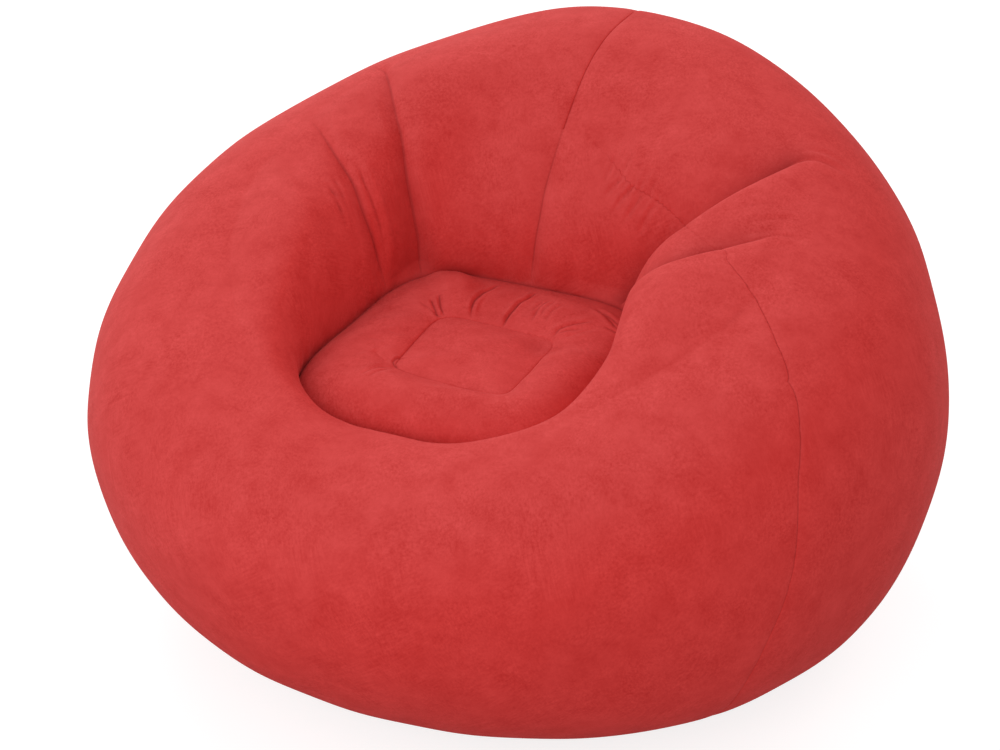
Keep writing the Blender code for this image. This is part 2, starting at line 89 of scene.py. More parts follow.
# Lines that the grid's columns follow: the column, then the stages and angles that its fold runs through. The
# grid closes on itself at the back, so its first and last lines are the same one.
COURSES = (
    (-180, BACK_FOLD_STAGES, [drift - 180 for drift in BACK_FOLD_DRIFTS]),
    (
        -128,
        (1.3, 1.97, 2.26, 2.42, 2.60, 2.76, 2.90, 3),
        (-126, -123.4, -124, -126.3, -129.5, -134, -138, -139),
    ),
    (
        -104,
        (1.3, 2.08, 2.28, 2.46, 2.62, 2.79, 2.9, 3),
        (-104, -102.5, -102, -103.2, -104.2, -107.5, -110, -113),
    ),
    (-55, (0, 3), (-55, -55)),
    (0, (0, 3), (0, 0)),
    (SEAM_COLUMN, (*DROP_STAGES, 3), (*DROP_ANGLES, 66)),
    (
        95,
        (1.3, 2.08, 2.28, 2.41, 2.56, 2.70, 2.85, 3),
        (94.5, 94.3, 93.6, 93.6, 94.8, 99.5, 113, 128),
    ),
    (
        118,
        (1.3, 1.97, 2.10, 2.23, 2.36, 2.51, 2.62, 2.74, 2.85, 3),
        (118, 117, 116.3, 115.8, 116.5, 119, 125, 135.5, 146, 157),
    ),
    (180, BACK_FOLD_STAGES, [180 + drift for drift in BACK_FOLD_DRIFTS]),
)

# Folds of the inner wall, by their course's column: how wide the banks beside it swell, and how dark its
# shadow is on the side of higher angles. Then, line by line, a stage, the fold's depth there, how far its two
# banks reach and how much they swell, the bank of lower angles first.
FOLDS = {
    -128: (0.036, 0.35, (
        (1.90, 0, .005, .010, 0, 0),
        (1.96, .0040, .005, .014, .001, 0),
        (2.10, .0085, .006, .022, .003, .001),
        (2.45, .015, .007, .032, .004, .002),
        (2.75, .021, .008, .036, .005, .004),
        (2.95, .021, .010, .032, .004, .004),
        (3.00, .004, .010, .020, 0, 0),
    )),
    -104: (0.020, 0.2, (
        (2.03, 0, .006, .008, 0, 0),
        (2.12, .003, .005, .010, .002, 0),
        (2.28, .007, .005, .016, .004, .001),
        (2.56, .009, .005, .018, .006, .002),
        (2.80, .008, .006, .018, .006, .002),
        (2.92, .004, .006, .012, .003, 0),
        (3.00, 0, .010, .010, 0, 0),
    )),
    95: (0.026, 1.4, (
        (2.07, 0, .005, .009, 0, 0),
        (2.12, .0030, .004, .010, .002, 0),
        (2.24, .0065, .004, .016, .005, 0),
        (2.41, .0100, .005, .019, .007, 0),
        (2.62, .0095, .006, .018, .007, .001),
        (2.78, .0045, .006, .014, .003, 0),
        (2.90, 0, .008, .010, 0, 0),
    )),
    118: (0.050, 1.6, (
        (1.93, 0, .006, .014, 0, 0),
        (1.98, .003, .006, .018, .001, 0),
        (2.08, .012, .006, .036, .006, 0),
        (2.25, .026, .006, .056, .012, 0),
        (2.50, .041, .007, .064, .011, 0),
        (2.80, .038, .008, .056, .019, 0),
        (2.95, .024, .008, .040, .020, 0),
        (3.00, .004, .008, .020, 0, 0),
    )),
    180: (0.032, 0.3, (
        (1.98, 0, .008, .008, 0, 0),
        (2.10, .0012, .008, .012, 0, 0),
        (2.46, .0028, .008, .016, .001, 0),
        (2.60, .0055, .006, .024, .002, .001),
        (2.90, .0085, .006, .028, .003, .002),
        (3.00, .003, .010, .016, 0, 0),
    )),
}

# Where a fold ends at the latest, then its painted shade, the dark line in its crease and the shadow
# beside it: how far each reaches, and how deep the fold is where it is in full
FOLD_LIMIT = 0.15
FOLD_LINE_REACH = 0.0016
FOLD_LINE_DEPTH = 0.008
FOLD_SHADOW_REACH = 0.016
FOLD_SHADOW_DEPTH = 0.010

# Places where the blown up skin stands fuller: angle, stage, height and reach, and their margin at the seat
SWELLS = (
    (93, 2.72, 0.021, 0.078),
    (-52, 2.70, 0.008, 0.060),
)
SWELL_END = 0.012

# Short wrinkles of the inner wall: their course as angles and stages, how deep they draw the skin in, or how
# far they lift it where that is below zero, and how far they reach
WRINKLES = (
    (((-106, 2.40), (-107, 2.50), (-108.5, 2.62), (-110.5, 2.72), (-112.5, 2.88)), .0050, .0042),
    (((-95, 2.37), (-95, 2.49), (-94.5, 2.63)), .0036, .0022),
    (((-97.5, 2.35), (-97.5, 2.46), (-97, 2.56)), .0022, .0022),
    (((-119, 2.14), (-120, 2.33), (-121, 2.46)), -.0012, .0050),
    (((170.5, 2.58), (173, 2.65)), .0010, .0022),
    (((166, 2.60), (169, 2.64), (171, 2.68)), .0018, .0022),
    (((161, 2.61), (164.5, 2.66), (167.5, 2.72)), .0022, .0023),
    (((156.5, 2.62), (159, 2.67), (162, 2.73)), .0020, .0023),
    (((150, 2.63), (152.5, 2.68), (154.5, 2.75)), .0017, .0027),
    (((140, 2.63), (142, 2.69), (143, 2.78)), .0011, .0030),
    (((175, 2.53), (174, 2.49)), .0009, .0022),
    (((167, 2.59), (164.5, 2.52)), .0012, .0022),
    (((158, 2.61), (156, 2.55)), .0009, .0022),
    (((154, 2.61), (151, 2.55)), .0012, .0024),
    (((117, 2.03), (116.5, 1.95), (115, 1.87), (112.5, 1.78)), .0022, .0034),
    (((119.5, 1.98), (118.5, 1.90), (116.5, 1.82)), .0012, .0034),
    (((113.5, 1.98), (111.5, 1.90), (108, 1.82)), .0012, .0034),
    (((105, 2.26), (104, 2.16), (101, 2.05), (97.5, 1.92)), .0011, .0032),
    (((99.5, 2.20), (99, 2.08), (97, 1.96)), .0014, .0032),
    (((96.5, 2.22), (96, 2.12), (95, 2.00)), .0010, .0030),
    (((94.5, 2.10), (93.5, 2.02), (92, 1.96)), .0016, .0032),
    (((88, 2.24), (84, 2.14)), .0010, .0034),
)

# How a wrinkle rises and falls along its course, by shares of it, and how far past its stages and within how
# many of its reaches it lies. Then its painted shade line: how far that reaches, how deep the wrinkle is
# where the line is in full, and how dark it is.
WRINKLE_SPAN = (-0.03, 0.2, 1, 0.45)
WRINKLE_MARGIN_STAGE = 0.15
WRINKLE_REACHES = 8
WRINKLE_LINE_REACH = 0.0013
WRINKLE_LINE_DEPTH = 0.002
WRINKLE_SHADE = 0.5

# Banks beside a short crease: how many times its reach away they stand
BANK_PLACE = 2.6
WRINKLE_BANKS = (0.5, 1.5)
SEAT_BANKS = (0.42, 1.6)

# Seams: a sharp groove between two welded panels, a shallow hollow round it, and the thread of shadow in it
GROOVE_DEPTH = 0.0013
GROOVE_REACH = 0.0013
HOLLOW_DEPTH = 0.0009
HOLLOW_REACH = 0.011
THREAD_REACH = 0.0008
THREAD_SHADE = 0.60
THREAD_MEAN = 0.75
THREAD_SWING = 0.35

# How tight the seams are: over the inner wall, above its stage, by angle, and where one drops down the lower
# flank, below a stage and between two angles, by stage
INNER_WALL_STAGE = 1.9
SEAM_TIGHTNESS = ((0, 84, 92, 112, 124, 166, 177, 180), (1, 1, 0.7, 0.6, 0.9, 0.8, 0.3, 0.3))
LOWER_DROP = (1.2, 40, 70)
DROP_TIGHTNESS = ((0, 0.5, 1.2), (0.35, 0.6, 1))

# How the shoulder seam's line wavers: by how many stages, over how many degrees, and where each wave starts.
# Then by column where it wavers and where it puckers: from where, rising over how many, to where and falling
# over how many. Last, how its details are let go at the back: from which column, over how many and how far.
SEAM_WAVERS = ((0.0026, 2.7, 0), (0.0018, 1.55, 1))
SEAM_WAVER_SPAN = (90, 30, 179, 6)
SEAM_PUCKER_SPAN = (60, 3, 180, 4)
SEAM_END = (176, 4, 0.04)

# Uneven waves along the welds: their length, how far they swing, and over which length they do
THREAD_WAVE = (0.017, 1.2, 0.09)
SEAM_WAVE = (0.021, 1.3, 0.083)
DROP_WAVE = (0.023, 1.1, 0.11)

# Puckers off the welds: their height along the shoulder seam, how much higher they are near the back, their
# height down the flank, how far they reach, and the finer ripples on them by share and length
SEAM_PUCKER = 0.00022
BACK_PUCKER = 0.0007
BACK_PUCKER_COLUMN = 160
BACK_PUCKER_ANGLE = 17
DROP_PUCKER = 0.00018
SEAM_PUCKER_REACH = 0.016
DROP_PUCKER_REACH = 0.012
SEAM_RIPPLE = (0.6, 0.0127)
DROP_RIPPLE = (0.5, 0.014)

# Gathers along the seat seam and the base seam: their height, how many go round, and how often they swing
SEAT_GATHERS = (0.0009, 39, 6)
BASE_GATHERS = (0.0006, 52, 7)
GATHER_SWING = 1.8
GATHER_REACH = 0.020

# Soft dents of the film: their depth, how far from a seam they start, then how many waves make them, the
# longest and the shortest, and their seed
RING_DENTS = (0.0011, 0.05, (30, 0.30, 0.11, 3))
SEAT_DENTS = (0.0007, 0.03, (20, 0.12, 0.05, 5))
EDGE_CALM = 0.0025

# Shade in the crease round the seat, and at the foot of the wall behind it
CREASE_SHADE = 1.5
RING_CREASE_REACH = 0.004
SEAT_CREASE_REACH = 0.0035
FOOT_SHADE = 0.55
FOOT_REACH = 0.055
FOOT_ANGLE = 105
FOOT_SPREAD_ANGLE = 35

# Seat: the welded rectangle's corners, from the back left round to the front left, and how square each is
RECTANGLE = ((-0.078, -0.061), (0.084, -0.067), (0.091, -0.236), (-0.061, -0.220))
RECTANGLE_POWERS = (5.5, 9, 8, 14)
RECTANGLE_HEIGHT = 0.4022

# Heights of the seat's padding round the border by bearing, and how it rises from the crease and the weld
BORDER_CROWNS = (
    (-180, -160, -148, -143, -136, -116, -95, -70, 0, 60, 100, 120, 142, 160, 180),
    (.008, .008, .018, .018, .012, .014, .017, .019, .033, .031, .024, .014, .010, .009, .008),
)
CREASE_STEEPNESS = (
    (-180, -158, -148, -143, -136, -116, -95, -70, -40, 60, 100, 130, 180),
    (1.0, 1.0, 0.55, 0.5, 0.9, 1.1, 1.0, 0.8, 0.4, 0.4, 0.5, 0.9, 1.0),
)
WELD_SOFTNESS = ((0, 50, 90, 130, 180), (1.25, 0.85, 0.70, 0.80, 1.0))
BORDER_CREST = 0.42
MIDDLE_CROWN = 0.0065
MIDDLE_POWER = 2.2

# Hollow in the seat's middle: its place, depth and reach, how far from the weld it fades, and its shade
MIDDLE_HOLLOW = ((0.070, -0.090), 0.0034, 0.024)
HOLLOW_MARGIN = 0.012
HOLLOW_SHADE = 0.32

# The weld round the rectangle: how deep it lies, how dark the painted shade along it is, and how far that
# shade is lost at one corner
WELD_DIP = 0.0008
WELD_DIP_REACH = 0.0014
WELD_SHADE = 0.20
WELD_SHADE_REACH = 0.0009
WELD_LOST_REACH = 0.03

# Lines where the seat's skin is drawn in, on its border and inside the weld: their course, how deep and how
# far they draw it in, and how dark their painted shade line is. Then how they rise and fall along their
# course.
BORDER_LINES = (
    (((-.111, -.054), (-.094, -.063), (-.077, -.070), (-.070, -.069)), .0016, .0026, .4),
    (((-.101, -.043), (-.085, -.062), (-.074, -.072), (-.070, -.069)), .0028, .0020, 1.2),
    (((-.096, -.030), (-.080, -.056), (-.069, -.068)), .0026, .0019, 1.2),
    (((-.040, .033), (-.043, .011), (-.047, -.003), (-.047, -.023), (-.043, -.044), (-.037, -.060)),
     .0026, .0018, 1.4),
    (((.013, .030), (.010, .008), (.004, -.009), (.004, -.035), (.007, -.055), (.009, -.064)),
     .0038, .0020, 1.6),
    (((.040, .012), (.034, -.009), (.038, -.042)), .0018, .0022, .9),
    (((.032, .006), (.028, -.022)), .0013, .0020, .8),
    (((.048, .010), (.042, -.012), (.044, -.033)), .0011, .0020, .8),
    (((.060, .008), (.053, -.015), (.055, -.040)), .0011, .0022, .7),
    (((.108, -.018), (.085, -.037), (.076, -.051), (.076, -.064)), .0024, .0024, .9),
    (((.105, -.040), (.086, -.049), (.077, -.058)), .0018, .0022, .7),
    (((.120, -.030), (.098, -.054), (.086, -.066)), .0014, .0034, 0),
    (((.095, .022), (.127, -.004), (.142, -.018)), .0026, .0026, 1.1),
    (((.107, .015), (.126, .003), (.143, -.008)), .0020, .0024, 1.0),
    (((.125, -.022), (.143, -.025), (.160, -.030)), .0020, .0026, .9),
    (((-.080, -.260), (-.071, -.237), (-.060, -.224)), .0018, .0028, .5),
    (((-.070, -.264), (-.062, -.242), (-.057, -.226)), .0014, .0028, .4),
    (((-.098, -.196), (-.079, -.208), (-.066, -.212)), .0026, .0060, 0),
    (((-.117, -.172), (-.094, -.173)), .0012, .0036, 0),
    (((-.110, -.145), (-.084, -.148)), .0010, .0040, 0),
    (((.096, -.244), (.106, -.260)), .0012, .0032, 0),
)
MIDDLE_LINES = (
    (((-.056, -.193), (-.061, -.193), (-.066, -.198), (-.066, -.206), (-.061, -.213), (-.054, -.219)),
     .0018, .0012, 1.0),
)
SEAT_LINE_SPAN = (0, 0.18, 1.02, 0.25)
SEAT_LINE_REACH = 0.0010
SEAT_LINE_DEPTH = 0.0022
BORDER_LINE_LAP = 0.004

# Valve, as the frame has it: sizes across, then heights out of the chair along its axis
VALVE_PLACE = Vector((-0.534, 0, 0.289))
FLANGE_RADIUS = 0.030
NECK_RADIUS = 0.017
BORE_RADIUS = 0.014
STEM_RADIUS = 0.0137
THROAT_RADIUS = 0.009
BOSS_RADIUS = 0.0084
HINGE_REACH = 0.019
LIP_REACH = 0.021
TAB_HALF = 0.004
SLEEVE_END = -0.012
STEM_END = -0.014
FLANGE_HEIGHTS = (-0.0023, -0.0011)
NECK_TOP = 0.006
RIM_HEIGHTS = (0.0063, 0.0093)
CAP_HEIGHTS = (0.0096, 0.0112)
BOSS_END = 0.0066
TURNED_SIDES = 96

# Valve's small shapes. A profile is a row of steps, outwards and upwards, from a radius and a height.
WELD_STEP = 0.0003
NECK_WAIST = 0.0006
WAIST_FOOT = 0.0010
NECK_LIP = ((-NECK_WAIST, -0.0022), (0, -0.0018), (0, 0))
RIB_PLACES = (-0.0085, -0.0050, -0.0015)
RIB_HEIGHT = 0.0004
RIB = ((-RIB_HEIGHT, -0.0009), (0, -0.0004), (0, 0.0004), (-RIB_HEIGHT, 0.0009))
STEM_NOSE = ((-0.0010, 0), (-RIB_HEIGHT, 0.0012))
THROAT_EDGE = ((0.0012, 0), (0, -0.0010))
BOSS_DIMPLE = 0.0004
BOSS_NOSE = ((-0.0016, BOSS_DIMPLE), (-0.0010, 0), (-0.0004, 0), (0, 0.0005))
DISH_DEPTH = 0.0006
CAP_EDGE = ((0, -0.0003), (-0.0003, 0), (-0.0022, 0), (-0.0030, -DISH_DEPTH))
CAP_BUTTON = ((0.0006, -DISH_DEPTH), (0, -0.0002), (-0.0012, -0.0002), (-0.0020, -0.0007))
BUTTON_DEPTH = 0.0009

# Valve's tabs: how far they lap onto a rim, how much lower than its face they lie, how wide the strap is, and
# how round their corners are in plan. Then the hinge's pin, and the ribs on the finger lip by their places.
TAB_LAP = 0.0015
ROOT_DROP = 0.0002
STRAP_DROP = 0.0004
STRAP_HALF = 0.8 * TAB_HALF
ROOT_CORNER = 0.0012
STRAP_CORNER = 0.0006
LIP_CORNER = 0.0026
PIN_RADIUS = 0.0008
PIN_INSET = 0.0007
PIN_LENGTH = 1.7 * TAB_HALF
FINGER_RIBS = (0.0010, 0.0021, 0.0032)
FINGER_RIB_HALF = 0.62 * TAB_HALF
FINGER_RIB_WIDTH = 0.0005
FINGER_RIB_RISE = 0.0002

# How far the valve's edges are rounded off
RING_ROUND = 0.00025
STEM_ROUND = 0.00015
BLOCK_ROUND = 0.0003
FINGER_RIB_ROUND = 0.0001

# Skin round the valve: how far it is drawn flat, its gathers, the weld of the flange under it, and its hole
PATCH_REACH = 0.085
PATCH_EASE = 0.050
PATCH_GATHERS = (0.0009, 13, 1.2)
PATCH_GATHER_PLACE = 0.044
PATCH_GATHER_REACH = 0.014
FLANGE_LIFT = 0.0007
FLANGE_LIFT_REACH = 0.0025
NECK_ROOM = 0.0008
NECK_GAP = 0.0006

# A distance beyond the reach of any detail
FAR = 9.0

# How close together the points of the skins lie
GIRTH_SPACING = 0.0066
SEAT_SPACING = 0.0036
FOLD_SPACING_ANGLE = 0.45
FOLD_FINE_ANGLE = 3.5
SEAM_SPACING_ANGLE = 0.12
SEAM_FINE_ANGLE = 0.8
LOWER_ROWS = 120
UPPER_ROWS = 116
SEAT_COLUMNS = 720
BASE_ROWS = 24
FIRST_STEP_SHARE = 0.0008
STEP_GROWTH = 1.6


def bell(away, reach):
    """1 at no distance, with a soft top, and almost nothing at twice the reach."""
    return np.exp(-((away / reach) ** 2))


def fade(away, reach):
    """1 at no distance, with a sharp top, and a third of that at the reach."""
    return np.exp(-away / reach)


def portion(value, whole):
    """How much of the whole a value is, from 0 to 1."""
    return np.clip(value / whole, 0, 1)


def spanned(value, start, rise, end, fall):
    """1 from a start to an end, but rising from 0 after the start and falling to 0 before the end."""
    return portion(value - start, rise) * portion(end - value, fall)


def eased(share):
    return share * share * (3 - 2 * share)


def wrapped(angle):
    """The same angle between -180 and 180."""
    return (angle + 180) % 360 - 180


def uneven_wave(run, length, swing, swing_length):
    return np.sin(run * tau / length + swing * np.sin(run * tau / swing_length))


def through(x, xs, ys):
    """A smooth curve through the points, read at x, that never swings past them."""
    xs, ys = np.asarray(xs, float), np.asarray(ys, float)
    steps = np.diff(ys) / np.diff(xs)
    slopes = np.zeros(len(xs))
    before, after = steps[:-1], steps[1:]
    together = np.flatnonzero(before * after > 0)
    slopes[together + 1] = 2 * before[together] * after[together] / (before[together] + after[together])
    slopes[0], slopes[-1] = steps[0], steps[-1]
    x = np.clip(x, xs[0], xs[-1])
    k = np.clip(np.searchsorted(xs, x, side="right") - 1, 0, len(xs) - 2)
    width = xs[k + 1] - xs[k]
    t = (x - xs[k]) / width
    return (
        ys[k] * (1 + 2 * t) * (1 - t) ** 2
        + slopes[k] * width * t * (1 - t) ** 2
        + ys[k + 1] * t * t * (3 - 2 * t)
        - slopes[k + 1] * width * t * t * (1 - t)
    )


def oval(angle, width, front_reach, back_reach, power, even=True):
    """Points of a rounded plan. An even plan is a true ellipse where it crosses the chair's two axes."""
    turn = np.radians(angle)
    if even:
        power = 2 + (power - 2) * np.sin(2 * turn) ** 2
    across, along = np.round(np.sin(turn), 12), np.round(np.cos(turn), 12)
    x = width / 2 * np.sign(across) * np.abs(across) ** (2 / power)
    middle, half_depth = (back_reach - front_reach) / 2, (back_reach + front_reach) / 2
    return np.stack([x, middle - half_depth * np.sign(along) * np.abs(along) ** (2 / power)], -1)


def at_height(plan, height):
    return np.concatenate([plan, np.broadcast_to(height, plan.shape[:-1])[..., None]], -1)


def front_to_back(angle, front, back):
    return (front + back) / 2 + (front - back) / 2 * np.cos(np.radians(angle))


def base_seam(angle):
    plan = oval(angle, BASE_SEAM_WIDTH, BASE_SEAM_FRONT_REACH, BASE_SEAM_BACK_REACH, 2)
    return at_height(plan, BASE_SEAM_HEIGHT)


def girth(angle):
    plan = oval(angle, CHAIR_WIDTH, CHAIR_DEPTH / 2, CHAIR_DEPTH / 2, GIRTH_POWER)
    return at_height(plan, front_to_back(angle, FRONT_GIRTH_HEIGHT, BACK_GIRTH_HEIGHT))


def rim(angle):
    turn = np.radians(angle)
    halfway = (FRONT_RIM_HEIGHT + BACK_RIM_HEIGHT) / 2
    arms = (halfway - ARM_RIM_HEIGHT) / 2
    height = halfway - arms + arms * np.cos(2 * turn)
    height += (FRONT_RIM_HEIGHT - BACK_RIM_HEIGHT) / 2 * np.cos(turn)
    height += BACK_RIM_FULLNESS * (np.cos(turn) - np.cos(3 * turn))
    return at_height(oval(angle, RIM_WIDTH, RIM_FRONT_REACH, RIM_BACK_REACH, RIM_POWER), height)


def seat_seam(angle):
    plan = oval(angle, SEAT_WIDTH, SEAT_FRONT_REACH, SEAT_BACK_REACH, SEAT_POWER, even=False)
    return at_height(plan, front_to_back(angle, SEAT_FRONT_HEIGHT, SEAT_BACK_HEIGHT))


def ring_skin(angle, stage):
    """Points of the smooth ring: three quarter arcs, from seam to girth to rim to seat."""
    side = (ARM_WALL_POWER - END_WALL_POWER) / 2
    wall_power = END_WALL_POWER + side - side * np.cos(2 * np.radians(angle))
    made = np.zeros((*np.shape(angle), 3))
    arcs = ((base_seam, girth, FLANK_POWER), (girth, rim, SHOULDER_POWER), (rim, seat_seam, wall_power))
    for part, (start, end, power) in enumerate(arcs):
        turn = np.clip(stage - part, 0, 1) * pi / 2
        power = 2 + (power - 2) * np.sin(2 * turn) ** 2
        run = np.sin(turn) ** (2 / power)
        rise = 1 - np.cos(turn) ** (2 / power)
        steps = (rise, rise, run) if part == 1 else (run, run, rise)
        points = start(angle) + (end(angle) - start(angle)) * np.stack(steps, -1)
        inside = (stage >= part) & (stage <= part + 1)
        made[inside] = points[inside]
    return made


def spaced(count, near_start, near_end):
    """Shares from 0 to 1 that lie close together by a seam and spread out evenly away from it."""
    ends = FIRST_STEP_SHARE * np.cumsum(STEP_GROWTH ** np.arange(9)) / STEP_GROWTH
    ends = np.concatenate([[0], ends[ends < 3 / count]])
    middle = np.linspace(ends[-1] if near_start else 0, 1 - ends[-1] if near_end else 1, count)
    start = ends[:-1] if near_start else []
    end = 1 - ends[:-1][::-1] if near_end else []
    return np.concatenate([start, middle, end])


def column_places():
    """The columns round the chair, closer at the folds and where the seat seam's corners spread them."""
    quarters = [quarter + np.linspace(-1, 1, 401) ** 3 for quarter in (-180, -90, 0, 90, 180)]
    fine = np.unique(np.concatenate([np.linspace(-180, 180, 60001), *quarters]))
    fine = fine[(fine >= -180) & (fine <= 180)]
    round_girth = np.linalg.norm(np.diff(girth(fine), axis=0), axis=-1) / GIRTH_SPACING
    round_seat = np.linalg.norm(np.diff(seat_seam(fine), axis=0), axis=-1) / SEAT_SPACING
    middles = (fine[1:] + fine[:-1]) / 2
    extra = np.zeros(len(middles))
    for column in FOLDS:
        extra += bell(wrapped(middles - column), FOLD_FINE_ANGLE) / FOLD_SPACING_ANGLE * np.diff(fine)
    extra += bell(middles - SEAM_COLUMN, SEAM_FINE_ANGLE) / SEAM_SPACING_ANGLE * np.diff(fine)
    measure = np.concatenate([[0], np.cumsum(np.maximum(round_girth, round_seat) + extra)])
    knots = [column for column, _, _ in COURSES]
    places = []
    for low, high in zip(knots, knots[1:]):
        first, last = np.interp([low, high], fine, measure)
        inner = np.interp(np.linspace(first, last, int(last - first) + 2), measure, fine)
        places.extend([low, *inner[1:-1]])
    return np.array([*places, knots[-1]])


def course_angles(columns, stage):
    """The real angle of each grid point, where the columns bend to run along the folds."""
    knots = np.array([column for column, _, _ in COURSES])
    paths = np.stack([through(stage, stages, angles) for _, stages, angles in COURSES])
    k = np.clip(np.searchsorted(knots, columns, side="right") - 1, 0, len(knots) - 2)
    share = (columns - knots[k]) / (knots[k + 1] - knots[k])
    k = np.broadcast_to(k, np.shape(stage))
    low = np.take_along_axis(paths, k[None], 0)[0]
    high = np.take_along_axis(paths, k[None] + 1, 0)[0]
    return low + (high - low) * share


def seam_row_stages(columns):
    """The stage at which each column crosses the shoulder seam's row, which wavers as it nears the back."""
    stages = through(np.abs(columns), SEAM_ANGLES, SEAM_STAGES)
    for _ in range(12):
        angle = wrapped(course_angles(columns, stages))
        stages = (stages + through(np.abs(angle), SEAM_ANGLES, SEAM_STAGES)) / 2
    drawn = spanned(columns, *SEAM_WAVER_SPAN)
    return stages + drawn * sum(
        height * np.sin(columns * tau / length + start) for height, length, start in SEAM_WAVERS
    )


def run_along(points, axis):
    """The distance of each point from the grid's first row or column, along the grid's own lines."""
    steps = np.linalg.norm(np.diff(points, axis=axis), axis=-1)
    first = np.zeros_like(np.take(steps, [0], axis))
    return np.concatenate([first, np.cumsum(steps, axis)], axis)


def outward(points):
    """The skin's outward direction at each point of a grid that closes on itself."""
    wide = np.concatenate([points[:, -2:-1], points, points[:, 1:2]], 1)
    round_it = wide[:, 2:] - wide[:, :-2]
    up_it = np.gradient(points, axis=0)
    normal = np.cross(round_it, up_it)
    return normal / np.maximum(np.linalg.norm(normal, axis=-1, keepdims=True), 1e-12)


def unevenness(points, waves, longest, shortest, seed):
    """Seeded soft waves of about unit height, for the small dents of a skin welded from flat film."""
    own = np.random.default_rng(seed)
    total = np.zeros(points.shape[:-1])
    for _ in range(waves):
        way = own.normal(size=3)
        way *= tau / own.uniform(shortest, longest) / np.linalg.norm(way)
        total += np.cos(points @ way + own.uniform(0, tau))
    return total / np.sqrt(waves / 2)


def distance_to_line(points, line):
    """Each point's distance from a polyline, and how far along it the nearest place is, from 0 to 1."""
    nearest = np.full(points.shape[:-1], FAR)
    along = np.zeros(points.shape[:-1])
    line = np.asarray(line, float)
    marks = np.concatenate([[0], np.cumsum(np.linalg.norm(np.diff(line, axis=0), axis=-1))])
    for start, end, mark, next_mark in zip(line, line[1:], marks, marks[1:]):
        way = end - start
        share = np.clip((points - start) @ way / max(way @ way, 1e-12), 0, 1)
        away = np.linalg.norm(points - start - share[..., None] * way, axis=-1)
        closer = away < nearest
        nearest[closer] = away[closer]
        along[closer] = ((mark + share * (next_mark - mark)) / marks[-1])[closer]
    return nearest, along


def smooth_line(course, count=24):
    """More points on a soft curve through a few."""
    course = np.asarray(course, float)
    marks = np.concatenate([[0], np.cumsum(np.linalg.norm(np.diff(course, axis=0), axis=-1))])
    places = np.linspace(0, marks[-1], count if len(course) > 2 else 2)
    return np.stack([through(places, marks, course[:, k]) for k in range(course.shape[1])], -1)


def creased(away, reach, bank_height, bank_width):
    """The shape of a crease that is 1 deep, with a soft bank on each side."""
    return fade(away, reach) - bank_height * bell(away - BANK_PLACE * reach, bank_width * reach)


def wrinkle_depths(points, stage):
    """The short wrinkles, each a small crease with soft banks, and the shade in them."""
    depth = np.zeros(stage.shape)
    shade = np.zeros(stage.shape)
    for course, deepest, reach in WRINKLES:
        angles, stages = smooth_line(course, 12).T
        first, last = stages.min() - WRINKLE_MARGIN_STAGE, stages.max() + WRINKLE_MARGIN_STAGE
        rows = np.flatnonzero((stage.max(axis=1) > first) & (stage.min(axis=1) < last))
        away, share = distance_to_line(points[rows], ring_skin(angles, stages))
        taper = spanned(share, *WRINKLE_SPAN)
        near = np.clip(2 - away / (WRINKLE_REACHES * reach), 0, 1)
        depth[rows] += deepest * taper * near * creased(away, reach, *WRINKLE_BANKS)
        # The dark line is painted shade in the wrinkle's crease
        line = taper * fade(share, 0.6) * bell(away, WRINKLE_LINE_REACH)
        line *= WRINKLE_SHADE * portion(deepest, WRINKLE_LINE_DEPTH)
        shade[rows] = np.maximum(shade[rows], line)
    return depth, shade


def fold_depths(points, columns, stage):
    """How deep the folds draw the skin in, less their banks' swelling, and the shade in their creases."""
    depth = np.zeros(stage.shape)
    shade = np.zeros(stage.shape)
    for column, (width, shadow, lines) in FOLDS.items():
        stages, depths, low_reach, high_reach, low_swell, high_swell = zip(*lines)
        k = int(np.argmin(np.abs(columns - column)))
        rows = np.flatnonzero(stage.max(axis=1) > stages[0])
        fold = points[rows, k][stage[rows, k] > stages[0] - 0.1]
        away, _ = distance_to_line(points[rows], fold[:: max(1, len(fold) // 40)])
        high = (np.sign(np.round(wrapped(columns - column), 6)) + 1) / 2
        local = stage[rows]
        deepest = through(local, stages, depths)
        reach = through(local, stages, low_reach) * (1 - high) + through(local, stages, high_reach) * high
        swell = through(local, stages, low_swell) * (1 - high) + through(local, stages, high_swell) * high
        bank = away / width
        near = eased(np.clip(1 - away / FOLD_LIMIT, 0, 1))
        fall = fade(away, reach)
        depth[rows] += near * (deepest * fall - swell * bank * np.exp(1 - bank) * (1 - fall))
        # The dark line in the crease and the shadow beside it are painted shade
        line = bell(away, FOLD_LINE_REACH) * portion(deepest, FOLD_LINE_DEPTH)
        hollow = shadow * high * fade(away, FOLD_SHADOW_REACH) * portion(deepest, FOLD_SHADOW_DEPTH)
        shade[rows] = np.maximum(shade[rows], np.maximum(line, hollow))
    return depth, shade


def swells(points, stage):
    """How far the fuller places stand proud."""
    total = np.zeros(stage.shape)
    for place, level, height, reach in SWELLS:
        middle = ring_skin(np.array([float(place)]), np.array([float(level)]))[0]
        total += height * bell(np.linalg.norm(points - middle, axis=-1), reach) * (stage > 1)
    return total


def seam_distances(points, columns, seam_row, corner):
    """How far each point lies from the shoulder seam, from where it drops and from the back's seam."""
    along, down = run_along(points, 1), run_along(points, 0)
    from_seam = np.abs(down - down[seam_row])
    from_seam[:, :corner] = np.linalg.norm(points[:, :corner] - points[seam_row, corner], axis=-1)
    start, over, far = SEAM_END
    from_seam += far * portion(columns - start, over) ** 2
    from_drop = np.abs(along - along[:, corner : corner + 1])
    from_back = np.minimum(along, along[:, -1:] - along)
    from_drop[seam_row + 1 :] = from_back[seam_row + 1 :] = FAR
    return from_seam, from_drop, from_back


